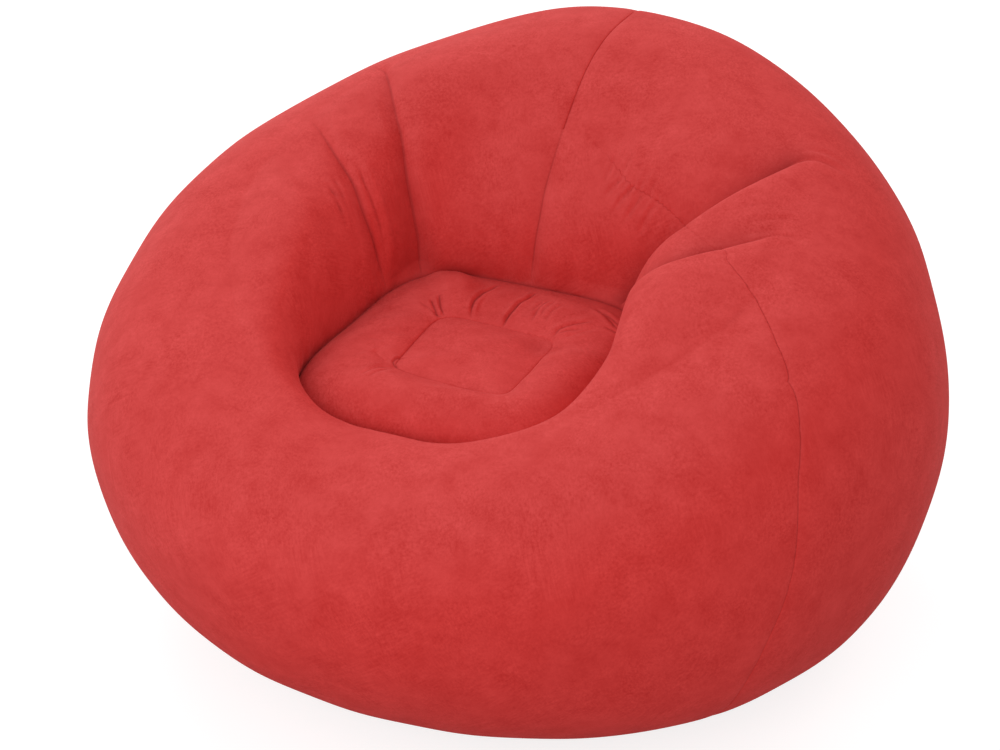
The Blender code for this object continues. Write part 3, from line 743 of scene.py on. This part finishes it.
def seam_depths(seam, ends, along_seam, stage, angle):
    """The groove and the hollow of each weld, and the broken thread of shadow in it."""
    inner_wall = (stage > INNER_WALL_STAGE) & (angle < 179.9) & (angle > 0)
    tight = np.where(inner_wall, through(np.abs(angle), *SEAM_TIGHTNESS), 1)
    top, first, last = LOWER_DROP
    lower_drop = (stage < top) & (angle > first) & (angle < last)
    tight = np.where(lower_drop, tight * through(stage, *DROP_TIGHTNESS), tight)
    weld = np.minimum(seam, ends)
    depth = tight * (GROOVE_DEPTH * fade(weld, GROOVE_REACH) + HOLLOW_DEPTH * bell(weld, HOLLOW_REACH))
    thread = THREAD_MEAN + THREAD_SWING * uneven_wave(along_seam, *THREAD_WAVE)
    return depth, THREAD_SHADE * thread * tight * bell(seam, THREAD_REACH)


def puckers(run, wave, ripple_share, ripple_length):
    return uneven_wave(run, *wave) + ripple_share * np.sin(run * tau / ripple_length)


def pucker_depths(points, columns, seam_row, from_seam, from_drop, from_back):
    """Short ripples square off the welded seams, strongest where the shoulder seam starts at the back."""
    along, down = run_along(points[seam_row : seam_row + 1], 1), run_along(points, 0)
    strength = SEAM_PUCKER + BACK_PUCKER * bell(columns - BACK_PUCKER_COLUMN, BACK_PUCKER_ANGLE)
    strength *= spanned(columns, *SEAM_PUCKER_SPAN)
    depth = strength * puckers(along, SEAM_WAVE, *SEAM_RIPPLE) * fade(from_seam, SEAM_PUCKER_REACH)
    off_drop = fade(np.minimum(from_drop, from_back), DROP_PUCKER_REACH)
    depth += DROP_PUCKER * puckers(down, DROP_WAVE, *DROP_RIPPLE) * off_drop
    edges = ((points[-1:], down[-1] - down, SEAT_GATHERS), (points[:1], down, BASE_GATHERS))
    for edge, away, (height, waves, swings) in edges:
        turn = run_along(edge, 1)
        turn *= tau / turn[:, -1:]
        gathers = np.sin(waves * turn + GATHER_SWING * np.sin(swings * turn))
        depth += height * gathers * fade(away, GATHER_REACH)
    return depth


def dents(points, from_edge, depth, margin, waves):
    return depth * portion(from_edge, margin) * unevenness(points, *waves)


def ring_grid():
    """The ring's skin as a grid of points, its columns, the shoulder seam's row and corner, and its shade."""
    columns = column_places()
    crossing = seam_row_stages(columns)
    lower = spaced(LOWER_ROWS, True, True)
    upper = spaced(UPPER_ROWS, True, True)[1:]
    stage = np.concatenate([lower[:, None] * crossing, crossing + upper[:, None] * (3 - crossing)])
    seam_row = len(lower) - 1
    corner = int(np.argmin(np.abs(columns - SEAM_COLUMN)))
    angle = course_angles(columns, stage)
    points = ring_skin(angle, stage)
    from_base = run_along(points, 0)
    to_seat = from_base[-1] - from_base
    ends = np.minimum(from_base, to_seat)
    seams = seam_distances(points, columns, seam_row, corner)
    depth, shade = fold_depths(points, columns, stage)
    wrinkles, wrinkle_shade = wrinkle_depths(points, stage)
    along_seam = run_along(points, 1)[seam_row]
    welds, thread = seam_depths(np.minimum.reduce(seams), ends, along_seam, stage, angle)
    depth += wrinkles + welds - swells(points, stage) * (1 - fade(to_seat, SWELL_END))
    depth += pucker_depths(points, columns, seam_row, *seams)
    depth += dents(points, ends, *RING_DENTS)
    depth *= 1 - fade(ends, EDGE_CALM)
    foot = FOOT_SHADE * portion(np.abs(angle) - FOOT_ANGLE, FOOT_SPREAD_ANGLE) * fade(to_seat, FOOT_REACH)
    crease = CREASE_SHADE * fade(to_seat, RING_CREASE_REACH)
    shade = np.maximum.reduce([shade, wrinkle_shade, thread, foot, crease])
    points = points - outward(points) * depth[..., None]
    return valve_patch(points), columns, seam_row, corner, shade


def valve_patch(points):
    """Draw the skin in flat round the valve, with the flange's weld ring and small gathers off it."""
    across, up = points[..., 1] - VALVE_PLACE.y, points[..., 2] - VALVE_PLACE.z
    away = np.where(points[..., 0] > 0, FAR, np.hypot(across, up))
    share = eased(portion(PATCH_REACH - away, PATCH_EASE))
    turn = np.arctan2(up, across)
    height, count, swing = PATCH_GATHERS
    gathers = height * np.cos(count * turn + swing * np.sin(2 * turn))
    gathers *= bell(away - PATCH_GATHER_PLACE, PATCH_GATHER_REACH)
    weld = FLANGE_LIFT * bell(away - FLANGE_RADIUS, FLANGE_LIFT_REACH)
    made = points.copy()
    made[..., 0] += (VALVE_PLACE.x - points[..., 0]) * share + gathers + weld
    return made


def add_grid(made, layer, points, shade):
    """Lay a grid of points as a sheet of faces that point outwards."""
    rows, columns = points.shape[:2]
    laid = bmesh.ops.create_grid(made, x_segments=columns - 1, y_segments=rows - 1, size=1)["verts"]
    for vertex in laid:
        column = round((vertex.co.x + 1) / 2 * (columns - 1))
        row = round((vertex.co.y + 1) / 2 * (rows - 1))
        vertex[layer] = shade[row, column]
        vertex.co = points[row, column]


def piece(name, made, body, nodes):
    """Put a bmesh into the scene as a smooth piece that rides on a body and stands for the frame's nodes."""
    mesh = bpy.data.meshes.new(name)
    made.to_mesh(mesh)
    made.free()
    mesh.shade_smooth()
    placed = placed_object(name, mesh)
    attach(placed, body)
    if nodes:
        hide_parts(*nodes)
    return placed


def panel(name, grids, nodes, cut=None):
    made = bmesh.new()
    # The crease layer holds painted shade, which darkens the flock in creases, folds, seams and hollows
    layer = made.verts.layers.float.new("crease")
    for points, shade in grids:
        add_grid(made, layer, points, shade)
    bmesh.ops.remove_doubles(made, verts=made.verts, dist=2e-6)
    if cut:
        cut(made)
    placed = piece(name, made, "chair_body", nodes)
    return placed


def open_for_valve(made):
    """Take the skin away under the valve's neck and draw the hole's edge to a clean circle."""
    def away(vertex):
        return FAR if vertex.co.x > -CHAIR_WIDTH / 3 else (vertex.co.yz - VALVE_PLACE.yz).length

    close = [vertex for vertex in made.verts if away(vertex) < NECK_RADIUS + NECK_ROOM]
    faces = {face for vertex in close for face in vertex.link_faces}
    bmesh.ops.delete(made, geom=list(faces), context="FACES")
    for vertex in made.verts:
        if vertex.is_boundary and away(vertex) < 2 * NECK_RADIUS:
            side = (vertex.co.yz - VALVE_PLACE.yz).normalized() * (NECK_RADIUS + NECK_GAP)
            vertex.co.yz = VALVE_PLACE.yz + side


def welded_rectangle(aim):
    """Where rays from the middle of the seat towards the given plan points cross the welded rectangle."""
    back_left, back_right, front_right, front_left = corners = np.array(RECTANGLE)
    across = (back_right + front_right - back_left - front_left) / 4
    along = (back_left + back_right - front_left - front_right) / 4
    ray = np.linalg.solve(np.stack([across, along], -1), (aim - corners.mean(0)).T)
    ray /= np.abs(ray).max(0)
    right, back = (ray + 1) / 2
    places = (0, 0.3, 0.7, 1)
    left_back, right_back, right_front, left_front = RECTANGLE_POWERS
    back_power = through(right, places, (left_back, left_back, right_back, right_back))
    front_power = through(right, places, (left_front, left_front, right_front, right_front))
    power = front_power + (back_power - front_power) * through(back, places, (0, 0, 1, 1))
    ray /= (np.abs(ray[0]) ** power + np.abs(ray[1]) ** power) ** (1 / power)
    right, back = ((ray + 1) / 2)[..., None]
    front_edge = front_left * (1 - right) + front_right * right
    back_edge = back_left * (1 - right) + back_right * right
    return front_edge * (1 - back) + back_edge * back


def even_round(points, count):
    """Places along a closed line, evenly spaced by its length."""
    run = run_along(points, 0)
    marks = np.linspace(0, run[-1], count)
    return np.stack([np.interp(marks, run, points[:, k]) for k in range(3)], -1)


def smooth_seat():
    """The seat's points before its skin is drawn in, and the row on which its weld lies."""
    crease = even_round(seat_seam(np.linspace(-180, 180, 20001)), SEAT_COLUMNS + 1)
    weld = at_height(welded_rectangle(crease[:, :2]), RECTANGLE_HEIGHT)
    centre = np.array([*np.mean(RECTANGLE, axis=0), RECTANGLE_HEIGHT])
    bearing = np.degrees(np.arctan2(crease[:, 0] - centre[0], centre[1] - crease[:, 1]))
    border = spaced(SEAT_COLUMNS // 10, True, True)[:, None, None]
    before_crest = border / (2 * BORDER_CREST)
    past_crest = 0.5 + (border - BORDER_CREST) / (2 - 2 * BORDER_CREST)
    rise = np.where(border < BORDER_CREST, before_crest, past_crest)[..., 0]
    softness = through(np.abs(bearing), *WELD_SOFTNESS)
    steepness = np.where(rise < 0.5, through(bearing, *CREASE_STEEPNESS), softness)
    rows = crease + (weld - crease) * border
    rows[..., 2] += through(bearing, *BORDER_CROWNS) * np.sin(pi * rise) ** steepness
    share = spaced(SEAT_COLUMNS // 16, True, False)[1:, None, None]
    middle = weld + (centre - weld) * share
    middle[..., 2] += MIDDLE_CROWN * (1 - (1 - share[..., 0]) ** MIDDLE_POWER)
    return np.concatenate([rows, middle]), len(rows) - 1


def seat_grid():
    """The seat: a puffed border between the crease and the weld, and a low cushion inside the weld."""
    points, weld_row = smooth_seat()
    middle = slice(weld_row + 1, None)
    plan = points[..., :2]
    from_crease = run_along(points, 0)
    from_weld = np.abs(from_crease - from_crease[weld_row])
    # The weld's dark line is painted shade, lost near one corner
    lost = bell(np.linalg.norm(plan - RECTANGLE[1], axis=-1), WELD_LOST_REACH)
    dip = WELD_DIP * fade(from_weld, WELD_DIP_REACH)
    shade = WELD_SHADE * (1 - lost) * bell(from_weld, WELD_SHADE_REACH)
    place, depth, reach = MIDDLE_HOLLOW
    hollow = bell(np.linalg.norm(plan - place, axis=-1), reach)
    dip[middle] += depth * (hollow * portion(from_weld, HOLLOW_MARGIN))[middle]
    shade[middle] = np.maximum(shade, HOLLOW_SHADE * np.clip(hollow * 1.3 - 0.25, 0, 1))[middle]
    on_border = np.ones(from_weld.shape)
    on_border[middle] = np.clip(1 - from_weld[middle] / BORDER_LINE_LAP, 0, 1)
    lines = [(line, on_border) for line in BORDER_LINES] + [(line, 1) for line in MIDDLE_LINES]
    # Each line's painted shade darkens the red along its crease
    for (course, deepest, reach, dark), kept in lines:
        away, share = distance_to_line(plan, smooth_line(course))
        taper = kept * spanned(share, *SEAT_LINE_SPAN)
        dip += deepest * taper * creased(away, reach, *SEAT_BANKS)
        line = bell(away, SEAT_LINE_REACH) * min(1, deepest / SEAT_LINE_DEPTH)
        shade = np.maximum(shade, dark * taper * line)
    dip += dents(points, from_crease, *SEAT_DENTS)
    dip *= 1 - fade(from_crease, EDGE_CALM)
    shade = np.maximum(shade, CREASE_SHADE * fade(from_crease, SEAT_CREASE_REACH))
    return points - outward(points) * dip[..., None], shade


def base_grid(columns):
    """The bottom: flat where it rests, then up to the base seam."""
    seam = base_seam(course_angles(columns, np.zeros(len(columns))))
    flat = seam * (BASE_FLAT_SHARE, BASE_FLAT_SHARE, 0)
    inner = flat * np.linspace(0, 1, BASE_ROWS)[:, None, None]
    share = spaced(BASE_ROWS, False, True)[1:, None]
    rise = np.zeros((len(share), len(columns), 3))
    rise[..., :2] = flat[:, :2] + (seam - flat)[:, :2] * share[..., None]
    rise[..., 2] = BASE_SEAM_HEIGHT * (1 - np.cos(pi / 2 * share))
    return np.concatenate([inner, rise])


class Value:
    """A number or a colour inside a material. Sums of values add the Math nodes that they need."""

    def __init__(self, sheet, socket):
        self.sheet = sheet
        self.socket = socket

    def _math(self, operation, *values):
        return self.sheet.node("ShaderNodeMath", values, operation=operation)

    def __add__(self, other):
        return self._math("ADD", self, other)

    def __sub__(self, other):
        return self._math("SUBTRACT", self, other)

    def __rsub__(self, other):
        return self._math("SUBTRACT", other, self)

    def __mul__(self, other):
        return self._math("MULTIPLY", self, other)

    __radd__ = __add__
    __rmul__ = __mul__


class Sheet:
    """A node tree, to which nodes are added."""

    def __init__(self, tree):
        self.tree = tree

    def node(self, kind, inputs=(), output=0, stops=None, **settings):
        """Add a node, its settings first and then its sockets by place or by name, and give one output."""
        made = self.tree.nodes.new(kind)
        for setting, value in settings.items():
            setattr(made, setting, value)
        if stops:
            ramp = made.color_ramp.elements
            while len(ramp) < len(stops):
                ramp.new(1)
            for element, (place, colour) in zip(ramp, stops):
                element.position = place
                element.color = (*colour, 1) if len(colour) == 3 else colour
        for key, value in inputs.items() if isinstance(inputs, dict) else enumerate(inputs):
            self.feed(made.inputs[key], value)
        return Value(self, made.outputs[output]) if len(made.outputs) else None

    def feed(self, socket, value):
        if isinstance(value, Value):
            self.tree.links.new(value.socket, socket)
        else:
            socket.default_value = value


class Finish(Sheet):
    """A material with one shader."""

    def __init__(self, name):
        self.material = bpy.data.materials.new(name)
        self.material.use_nodes = True
        super().__init__(self.material.node_tree)
        self.shader = self.tree.nodes["Principled BSDF"]
        self.out = self.tree.nodes["Material Output"]

    def set(self, **values):
        for key, value in values.items():
            self.feed(self.shader.inputs[key.replace("_", " ")], value)

    def places(self, scale=(1, 1, 1), turn=(0, 0, 0)):
        where = self.node("ShaderNodeTexCoord", output="Object")
        return self.node("ShaderNodeMapping", {"Vector": where, "Scale": scale, "Rotation": turn})

    def strokes(self, turn, width, length):
        """Fine marks of one direction, as wide and as long as given."""
        where = self.node("ShaderNodeTexCoord", output="Object")
        inputs = {"Vector": where, "Rotation": turn, "Scale": (width, width, length)}
        return self.noise(self.node("ShaderNodeMapping", inputs, vector_type="TEXTURE"), 1, 2, 0.6)

    def noise(self, places, scale, detail=4.0, roughness=0.5):
        inputs = {"Vector": places, "Scale": scale, "Detail": detail, "Roughness": roughness}
        return self.node("ShaderNodeTexNoise", inputs, output="Fac")

    def ramp(self, factor, *stops):
        return self.node("ShaderNodeValToRGB", {"Fac": factor}, stops=stops)

    def mix(self, factor, first, second, blend="MIX"):
        inputs = {0: factor, 6: first, 7: second}
        return self.node("ShaderNodeMix", inputs, output=2, data_type="RGBA", blend_type=blend)

    def bump(self, height, distance, strength=1.0):
        return self.node("ShaderNodeBump", {"Height": height, "Distance": distance, "Strength": strength})


def grey(level):
    return (level, level, level, 1)


# Flock: its reds, among them the deep red of painted shade. Then its painted light: the way towards the
# lamps, and the tints from where the skin faces away from them to where it faces them, redder away from
# them and paler towards them. Last, its brush strokes by direction, width and length
DEEP_RED = (0.565, 0.0325, 0.0305, 1)
PALE_RED = (0.715, 0.0665, 0.0645, 1)
PAINTED_SHADE_RED = (0.30, 0.018, 0.018, 1)
SHEEN_RED = (1.0, 0.62, 0.60, 1)
LAMP_SIDE = (-0.55, -0.25, 0.5)
PAINTED_LIGHT_TINTS = ((0.1, (0.98, 0.80, 0.76)), (0.45, (1.0, 1.10, 1.08)), (0.75, (0.99, 1.20, 1.18)))
STROKES = (
    ((0.3, 0.9, 0.2), 0.0030, 0.060),
    ((-0.5, 0.1, 1.1), 0.0024, 0.048),
    ((1.2, -0.4, 0.6), 0.0034, 0.055),
    ((0.9, 0.7, -0.5), 0.0022, 0.070),
)
BLACK, WHITE = (0, 0, 0, 1), (1, 1, 1, 1)
WELD_RING = ((0.0262, BLACK), (0.0270, WHITE), (0.0288, WHITE), (0.0296, BLACK))


def flocked_finish():
    """Short red flock in fine clouds and brushed strokes, painted paler where it faces the lamps."""
    flock = Finish("flocked_red")
    places = flock.places()
    cloud = flock.noise(places, 30, 9, 0.72)
    broad = flock.noise(places, 7, 3, 0.5)
    grain = flock.noise(places, 620, 3, 0.7)
    nap = 0.5 + 1.8 * (cloud - 0.5) + 0.35 * (broad - 0.5) + 0.35 * (grain - 0.5)
    height = 0.5 * grain + 0.5 * cloud
    for turn, width, length in STROKES:
        brushed = flock.strokes(turn, width, length)
        patch = flock.noise(flock.places((1, 1, 1), turn), 16, 3)
        patch = flock.ramp(patch, (0.42, BLACK), (0.62, WHITE))
        nap = nap + 1.0 * (brushed - 0.5) * patch
        height = height + 0.3 * brushed * patch
    # Painted light: the skin is tinted paler where it faces the lamps and redder where it faces away
    facing = flock.node("ShaderNodeTexCoord", output="Normal")
    facing_lamps = flock.node("ShaderNodeVectorMath", (facing, LAMP_SIDE), output="Value", operation="DOT_PRODUCT")
    red = flock.mix(1.0, flock.mix(nap, DEEP_RED, PALE_RED), flock.ramp(facing_lamps, *PAINTED_LIGHT_TINTS), "MULTIPLY")
    # Painted shade from the crease layer darkens the red in creases, folds, seams and hollows
    crease = flock.node("ShaderNodeAttribute", attribute_name="crease", output="Fac")
    # The valve's weld ring: a groove in the bump, and painted shade that darkens the red in it
    around = (places, VALVE_PLACE)
    from_valve = flock.node("ShaderNodeVectorMath", around, output="Value", operation="DISTANCE")
    weld = flock.ramp(from_valve, *WELD_RING)
    height = height - 0.9 * weld
    flock.set(Base_Color=flock.mix(crease * 0.55 + 0.22 * weld, red, PAINTED_SHADE_RED))
    flock.set(Roughness=flock.node("ShaderNodeMapRange", {0: cloud, 3: 0.80, 4: 0.94}))
    flock.set(Specular_IOR_Level=0.12, Sheen_Weight=0.04, Sheen_Roughness=0.4, Sheen_Tint=SHEEN_RED)
    flock.set(Normal=flock.bump(height, 0.0012, 0.5))
    return flock.material


def vinyl_finish():
    """Plain satin vinyl for the bottom, with a fine calender grain and scuffs from the floor."""
    vinyl = Finish("satin_vinyl")
    places = vinyl.places()
    grain = vinyl.noise(places, 420, 3, 0.55)
    scuff = vinyl.noise(vinyl.places((1, 0.3, 1)), 40, 6, 0.7)
    tone = vinyl.ramp(vinyl.noise(places, 9, 4), (0.3, (0.30, 0.020, 0.022)), (0.7, (0.38, 0.026, 0.028)))
    scuffs = vinyl.ramp(scuff, (0.62, BLACK), (0.70, WHITE))
    vinyl.set(Base_Color=vinyl.mix(scuffs * 0.25, tone, (0.45, 0.10, 0.10, 1)))
    vinyl.set(Roughness=vinyl.node("ShaderNodeMapRange", {0: scuff, 3: 0.38, 4: 0.62}))
    vinyl.set(Normal=vinyl.bump(grain, 0.0004, 0.4))
    return vinyl.material


def moulded_finish():
    """The valve's soft moulded vinyl: off white, faintly clouded, satin."""
    mould = Finish("moulded_vinyl")
    places = mould.places()
    cloud = mould.noise(places, 60, 3)
    mould.set(Base_Color=mould.ramp(cloud, (0.3, (0.68, 0.66, 0.61)), (0.7, (0.76, 0.74, 0.70))))
    mould.set(Roughness=mould.node("ShaderNodeMapRange", {0: cloud, 3: 0.34, 4: 0.5}))
    mould.set(Normal=mould.bump(mould.noise(places, 1500, 2), 0.0002, 0.3))
    return mould.material


def film_finish():
    """The inner webs' clear film, milky where it is thick, with a faint emboss."""
    film = Finish("web_film")
    places = film.places()
    cloud = film.noise(places, 30, 3)
    film.set(Base_Color=film.ramp(cloud, (0.3, (0.58, 0.56, 0.54)), (0.7, (0.66, 0.64, 0.62))))
    film.set(Roughness=film.node("ShaderNodeMapRange", {0: cloud, 3: 0.3, 4: 0.5}))
    film.set(Normal=film.bump(film.noise(places, 700, 2), 0.0003, 0.4))
    return film.material


def turned(profile, closed=True):
    """A piece of the valve turned round its axis from pairs of a radius and a height."""
    made = bmesh.new()
    ring = [made.verts.new((radius, 0, height)) for radius, height in profile]
    ends = zip(ring, ring[1:] + ring[:1]) if closed else zip(ring, ring[1:])
    edges = [made.edges.new(pair) for pair in ends]
    bmesh.ops.spin(made, geom=ring + edges, axis=(0, 0, 1), angle=tau, steps=TURNED_SIDES, use_merge=True)
    bmesh.ops.remove_doubles(made, verts=made.verts, dist=1e-6)
    bmesh.ops.recalc_face_normals(made, faces=made.faces)
    return made


def rounded(made, width, sharpest):
    """Round off the edges that turn by more than the given angle."""
    sharp = [edge for edge in made.edges if edge.calc_face_angle(0) > radians(sharpest)]
    bmesh.ops.bevel(
        made,
        geom=sharp,
        offset=width,
        segments=3,
        profile=0.5,
        material=-1,
        affect="EDGES",
        clamp_overlap=True,
    )


def block(made, low, high, corner=0.0, edge=BLOCK_ROUND):
    """Add a flat tab between two corners, with its outline's corners and its edges rounded."""
    low, high = Vector(low), Vector(high)
    size = high - low
    place = Matrix.Translation((low + high) / 2) @ Matrix.Diagonal((*size, 1))
    part = bmesh.new()
    bmesh.ops.create_cube(part, size=1, matrix=place)
    if corner:
        upright = [edge for edge in part.edges if abs(edge.verts[0].co.z - edge.verts[1].co.z) > size.z / 2]
        outer = [edge for edge in upright if abs(edge.verts[0].co.x) > abs(low.x + high.x) / 2]
        bmesh.ops.bevel(part, geom=outer, offset=corner, segments=6, profile=0.5, material=-1, affect="EDGES")
    rounded(part, edge, 50)
    mesh = bpy.data.meshes.new("block")
    part.to_mesh(mesh)
    part.free()
    made.from_mesh(mesh)
    bpy.data.meshes.remove(mesh)


def on_valve(name, made, body, node):
    """Stand a piece on the chair's left side: its own height points out of the chair, and its +X up."""
    stand = Matrix.Translation(VALVE_PLACE) @ Matrix.Rotation(-pi / 2, 4, "Y")
    bmesh.ops.transform(made, matrix=stand, verts=made.verts)
    return piece(name, made, body, [node])


def stepped(radius, height, steps):
    """Places on a profile, at steps from a radius and a height."""
    return [(radius + out, height + up) for out, up in steps]


def valve_ring():
    """The neck that is welded behind the film by its flange, with a lip round its mouth."""
    inner, outer = FLANGE_HEIGHTS
    made = turned((
        (BORE_RADIUS, SLEEVE_END),
        (NECK_RADIUS, SLEEVE_END),
        (NECK_RADIUS, inner),
        (FLANGE_RADIUS, inner),
        (FLANGE_RADIUS, outer),
        (NECK_RADIUS + WELD_STEP, outer),
        (NECK_RADIUS - NECK_WAIST, WAIST_FOOT),
        *stepped(NECK_RADIUS, NECK_TOP, NECK_LIP),
        (BORE_RADIUS, NECK_TOP),
    ))
    rounded(made, RING_ROUND, 30)
    return on_valve("valve_ring", made, "chair_body", "valve_base")


def valve_stem():
    """The stem that pulls out of the neck, ribbed where it grips, with the strap's root on its rim."""
    low, high = RIM_HEIGHTS
    made = turned((
        (THROAT_RADIUS, STEM_END),
        *stepped(STEM_RADIUS, STEM_END, STEM_NOSE),
        *(place for middle in RIB_PLACES for place in stepped(STEM_RADIUS, middle, RIB)),
        (STEM_RADIUS - RIB_HEIGHT, low),
        (NECK_RADIUS, low),
        (NECK_RADIUS, high),
        *stepped(THROAT_RADIUS, high, THROAT_EDGE),
    ))
    rounded(made, STEM_ROUND, 30)
    root = (NECK_RADIUS - TAB_LAP, -TAB_HALF, low)
    block(made, root, (HINGE_REACH, TAB_HALF, high - ROOT_DROP), ROOT_CORNER)
    place = Matrix.Translation((HINGE_REACH - PIN_INSET, 0, high - PIN_RADIUS))
    bmesh.ops.create_cone(
        made,
        cap_ends=True,
        segments=24,
        radius1=PIN_RADIUS,
        radius2=PIN_RADIUS,
        depth=PIN_LENGTH,
        matrix=place @ Matrix.Rotation(pi / 2, 4, "X"),
    )
    return on_valve("valve_stem", made, "plug", "valve_plug")


def valve_lid():
    """The cap: a boss for the throat, a dished top with a raised button, and a ribbed finger lip."""
    low, high = CAP_HEIGHTS
    made = turned((
        (0, BOSS_END + BOSS_DIMPLE),
        *stepped(BOSS_RADIUS, BOSS_END, BOSS_NOSE),
        (BOSS_RADIUS, low),
        (NECK_RADIUS, low),
        *stepped(NECK_RADIUS, high, CAP_EDGE),
        *stepped(THROAT_RADIUS, high, CAP_BUTTON),
        (0, high - BUTTON_DEPTH),
    ), closed=False)
    rounded(made, STEM_ROUND, 30)
    strap = (NECK_RADIUS - TAB_LAP, -STRAP_HALF, low)
    block(made, strap, (HINGE_REACH, STRAP_HALF, high - STRAP_DROP), STRAP_CORNER)
    lip = (-LIP_REACH, -TAB_HALF, low)
    block(made, lip, (TAB_LAP - NECK_RADIUS, TAB_HALF, high - ROOT_DROP), LIP_CORNER)
    for along in FINGER_RIBS:
        place = along - LIP_REACH
        rib = (place, -FINGER_RIB_HALF, high - DISH_DEPTH)
        end = (place + FINGER_RIB_WIDTH, FINGER_RIB_HALF, high + FINGER_RIB_RISE)
        block(made, rib, end, 0, FINGER_RIB_ROUND)
    return on_valve("valve_lid", made, "cap", "valve_cap")


def dress(target, material):
    target.data.materials.clear()
    target.data.materials.append(material)


def dress_node(name, material):
    for slot in bpy.data.objects[name].material_slots:
        slot.material = material


# Lamps: name, bearing round the chair, height angle and power
LAMPS = (
    ("left_lamp", -130, 32, 48),
    ("key_lamp", -50, 28, 14),
    ("front_lamp", 0, 25, 34),
    ("back_lamp", 150, 40, 20),
)
LAMP_SIZE = 2.4
LAMP_DISTANCE = 4
SURROUND_LIGHT = 0.66
STAGE_CENTRE = Vector((0, 0, 0.3))


def placed_object(name, data):
    placed = bpy.data.objects.new(name, data)
    bpy.context.scene.collection.objects.link(placed)
    return placed


def stage_set():
    """A white floor that keeps the chair's soft shadow, a white surround and broad soft lamps."""
    made = bmesh.new()
    bmesh.ops.create_grid(made, x_segments=1, y_segments=1, size=40)
    mesh = bpy.data.meshes.new("floor")
    made.to_mesh(mesh)
    made.free()
    floor = placed_object("floor", mesh)
    mesh.materials.append(paper_finish())
    world = bpy.data.worlds.new("surround")
    bpy.context.scene.world = world
    world.use_nodes = True
    surround = Sheet(world.node_tree)
    surround.tree.nodes.clear()
    rays = [surround.node("ShaderNodeLightPath", output=ray) for ray in ("Is Camera Ray", "Is Glossy Ray")]
    seen = surround.node("ShaderNodeMath", rays, operation="MAXIMUM")
    lit = surround.node("ShaderNodeBackground", {"Color": WHITE, "Strength": SURROUND_LIGHT})
    shown = surround.node("ShaderNodeBackground", {"Color": WHITE, "Strength": 1.0})
    both = surround.node("ShaderNodeMixShader", (seen, lit, shown))
    surround.node("ShaderNodeOutputWorld", {"Surface": both})
    for name, bearing, height, power in LAMPS:
        lamp(name, bearing, height, power)


def paper_finish():
    """White paper: the camera sees it near white with the chair's shadow, and it throws back a grey."""
    paper = Finish("white_paper")
    lit = paper.ramp(paper.noise(paper.places(), 3, 2), (0.3, grey(0.66)), (0.7, grey(0.68)))
    seen = paper.node("ShaderNodeLightPath", output="Is Camera Ray")
    paper.set(Base_Color=paper.mix(seen, lit, grey(0.36)), Roughness=0.9, Specular_IOR_Level=0.0)
    glow = paper.node("ShaderNodeEmission", {"Color": WHITE, "Strength": seen * 0.80})
    both = paper.node("ShaderNodeAddShader", (Value(paper, paper.shader.outputs[0]), glow))
    paper.feed(paper.out.inputs["Surface"], both)
    return paper.material


def facing_back(bearing, height):
    """The direction from the chair towards a bearing round it and a height angle."""
    return Vector((sin(bearing) * cos(height), -cos(bearing) * cos(height), sin(height)))


def lamp(name, bearing, height, power):
    """A broad soft lamp that looks at the chair from its bearing and height."""
    light = bpy.data.lights.new(name, "AREA")
    light.shape = "DISK"
    light.size = LAMP_SIZE
    light.energy = power
    placed = placed_object(name, light)
    back = facing_back(radians(bearing), radians(height))
    placed.location = STAGE_CENTRE + back * LAMP_DISTANCE
    placed.rotation_euler = back.to_track_quat("Z", "Y").to_euler()


# Camera: its bearing and height round the chair, its distance from it, its tilt and its lens
CAMERA_BEARING = 24.41
CAMERA_HEIGHT_ANGLE = 26.91
CAMERA_TILT = 0.815
CAMERA_DISTANCE = 2.4198
CAMERA_LENS = 68.34
CAMERA_SHIFT = (-0.01725, 0.0044)


def camera():
    bearing, height, tilt = (radians(angle) for angle in (CAMERA_BEARING, CAMERA_HEIGHT_ANGLE, CAMERA_TILT))
    back = facing_back(bearing, height)
    right = Vector((cos(bearing), sin(bearing), 0))
    up = back.cross(right)
    tilted_right = right * cos(tilt) + up * sin(tilt)
    tilted_up = up * cos(tilt) - right * sin(tilt)
    data = bpy.data.cameras.new("camera")
    data.lens = CAMERA_LENS
    data.shift_x, data.shift_y = CAMERA_SHIFT
    placed = placed_object("camera", data)
    turn = Matrix((tilted_right, tilted_up, back)).transposed()
    placed.matrix_world = Matrix.Translation(STAGE_CENTRE + back * CAMERA_DISTANCE) @ turn.to_4x4()
    bpy.context.scene.camera = placed


def chair():
    flock, vinyl = flocked_finish(), vinyl_finish()
    points, columns, seam_row, corner, shade = ring_grid()
    main = [
        (points[:, : corner + 1], shade[:, : corner + 1]),
        (points[seam_row:, corner:], shade[seam_row:, corner:]),
    ]
    dress(panel("flocked_wrap", main, ["main_wrap_panel"], open_for_valve), flock)
    shoulder = [(points[: seam_row + 1, corner:], shade[: seam_row + 1, corner:])]
    dress(panel("flocked_shoulder", shoulder, ["rear_shoulder_panel"]), flock)
    seat_points, seat_shade = seat_grid()
    dress(panel("flocked_seat", [(seat_points, seat_shade)], ["seat_panel"]), flock)
    base = base_grid(columns)
    dress(panel("vinyl_base", [(base, np.zeros(base.shape[:2]))], ["base_panel"]), vinyl)
    film, mould = film_finish(), moulded_finish()
    for name in ("seat_edge_tie", "seat_tie_front", "seat_tie_right", "seat_tie_back", "seat_tie_left"):
        dress_node(name, film)
    for made in (valve_ring(), valve_stem(), valve_lid()):
        dress(made, mould)
    dress_node("check_flap", mould)


camera()
stage_set()
chair()

view = bpy.context.scene.view_settings
view.view_transform = "Standard"
